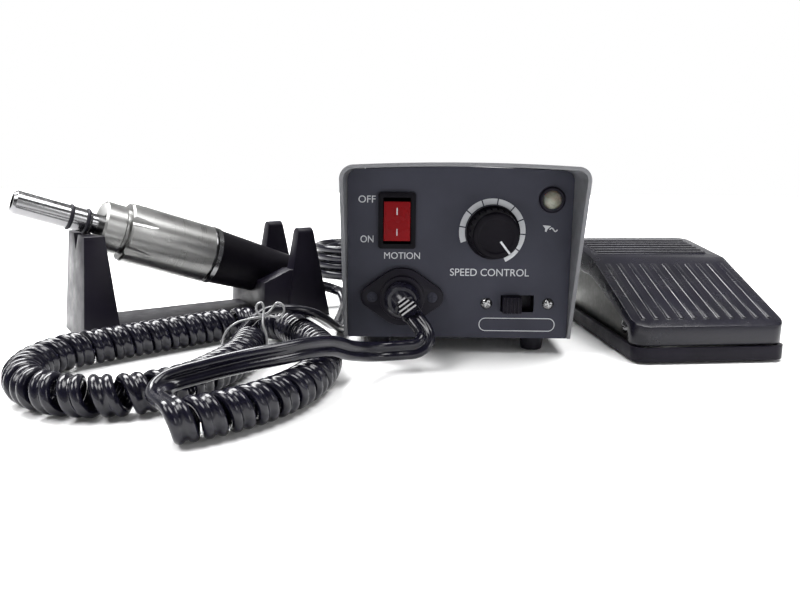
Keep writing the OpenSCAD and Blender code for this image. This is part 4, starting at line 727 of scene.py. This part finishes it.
# Marks on the rocker: one on each half, just proud of its face
SWITCH_X, SWITCH_Z = -27, FOOT_H + 51.5
ROCKER_FRONT, ROCKER_SLOPE, MARK_OUT, MARK_HALF = 2.6, math.tan(math.radians(18)), 0.06, 0.22
for name, low, high in (("rocker_mark_upper", 2.6, 5.6), ("rocker_mark_lower", -6.0, -3.2)):
    corners = []
    for x, u in ((-MARK_HALF, low), (MARK_HALF, low), (MARK_HALF, high), (-MARK_HALF, high)):
        y = -ROCKER_FRONT - max(0, -u) * ROCKER_SLOPE - MARK_OUT
        corners.append(at(SWITCH_X + x, y, SWITCH_Z + u))
    strip(name, corners, "rocker")

# White line in the knob's pointer groove
POINTER, LINE_IN, LINE_OUT, LINE_HALF = math.radians(-52), 3.0, 9.5, 0.42
KNOB_TOP, LINE_DEEP = 15.0, 0.45
corners = []
for r, s in ((LINE_IN, -LINE_HALF), (LINE_OUT, -LINE_HALF), (LINE_OUT, LINE_HALF),
             (LINE_IN, LINE_HALF)):
    x = r * math.cos(POINTER) - s * math.sin(POINTER)
    z = r * math.sin(POINTER) + s * math.cos(POINTER)
    corners.append(at(KNOB_X + x, -KNOB_TOP + LINE_DEEP, KNOB_Z + z))
strip("knob_pointer_line", corners, "knob")

# Floor, which fades into the white of the background

FLOOR_SIDE, FLOOR_FRONT, FLOOR_BACK, FLOOR_Z = 1.3, -1.5, 1, -0.0003
FADE_FROM, FADE_TO = 0.75, 1.0
WHITE = (1, 1, 1, 1)


def map_range(tree, source, low, high):
    node = tree.nodes.new("ShaderNodeMapRange")
    node.inputs["From Min"].default_value = low
    node.inputs["From Max"].default_value = high
    tree.links.new(source, node.inputs["Value"])
    return node.outputs["Result"]


floor_mesh = bpy.data.meshes.new("floor")
floor_mesh.from_pydata([(-FLOOR_SIDE, FLOOR_FRONT, FLOOR_Z), (FLOOR_SIDE, FLOOR_FRONT, FLOOR_Z),
                        (FLOOR_SIDE, FLOOR_BACK, FLOOR_Z), (-FLOOR_SIDE, FLOOR_BACK, FLOOR_Z)],
                       [], [(0, 1, 2, 3)])
floor = add_object("floor", floor_mesh)
floor_white = surface("floor_white", (0.9, 0.9, 0.9), 0.6, spread=0.005, blotch=4, grain=0)
tree = floor_white.node_tree
coords = tree.nodes.new("ShaderNodeTexCoord")
reach = tree.nodes.new("ShaderNodeVectorMath")
reach.operation = "LENGTH"
tree.links.new(coords.outputs["Object"], reach.inputs[0])
glow = tree.nodes["Principled BSDF"].inputs
glow["Emission Color"].default_value = WHITE
tree.links.new(map_range(tree, reach.outputs["Value"], FADE_FROM, FADE_TO),
               glow["Emission Strength"])
floor_mesh.materials.append(floor_white)
floor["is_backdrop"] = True

# World: white walls, and above them a dim ceiling that is lighter to the back

CEILING_FROM, CEILING_TO = -0.45, 0.35
WALL_TOP, CEILING_LOW = 0.2, 0.42
world = bpy.data.worlds.new("studio")
bpy.context.scene.world = world
world.use_nodes = True
tree = world.node_tree
coords = tree.nodes.new("ShaderNodeTexCoord")
split = tree.nodes.new("ShaderNodeSeparateXYZ")
tree.links.new(coords.outputs["Generated"], split.inputs["Vector"])
ceiling = ramp(tree, map_range(tree, split.outputs["Y"], CEILING_FROM, CEILING_TO),
               [(0, 0.05), (0.5, 0.12), (1, 0.3)])
room = tree.nodes.new("ShaderNodeMix")
room.data_type = "RGBA"
room.inputs["A"].default_value = WHITE
tree.links.new(map_range(tree, split.outputs["Z"], WALL_TOP, CEILING_LOW), room.inputs["Factor"])
tree.links.new(ceiling, room.inputs["B"])
tree.links.new(room.outputs["Result"], tree.nodes["Background"].inputs["Color"])
tree.nodes["Background"].inputs["Strength"].default_value = 1.0

# Lights


def area_light(name, place, aim, width, depth, energy):
    data = bpy.data.lights.new(name, "AREA")
    data.energy = energy
    data.shape = "RECTANGLE"
    data.size, data.size_y = width, depth
    obj = add_object(name, data)
    obj.location = place
    obj.rotation_euler = (Vector(aim) - Vector(place)).to_track_quat("-Z", "Y").to_euler()


area_light("key", (-0.8, -0.5, 1.15), (0, 0, 0.03), 0.6, 0.6, 15)
area_light("overhead", (-0.6, 0.55, 1.2), (-0.1, 0.05, 0), 1.1, 0.6, 48)
area_light("right", (0.45, -0.05, 1.3), (0.2, 0, 0), 0.7, 0.7, 20)
area_light("fill", (1.0, -0.6, 0.5), (0, 0, 0.03), 0.4, 0.4, 3)
bpy.context.scene.view_settings.view_transform = "Standard"

low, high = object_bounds()
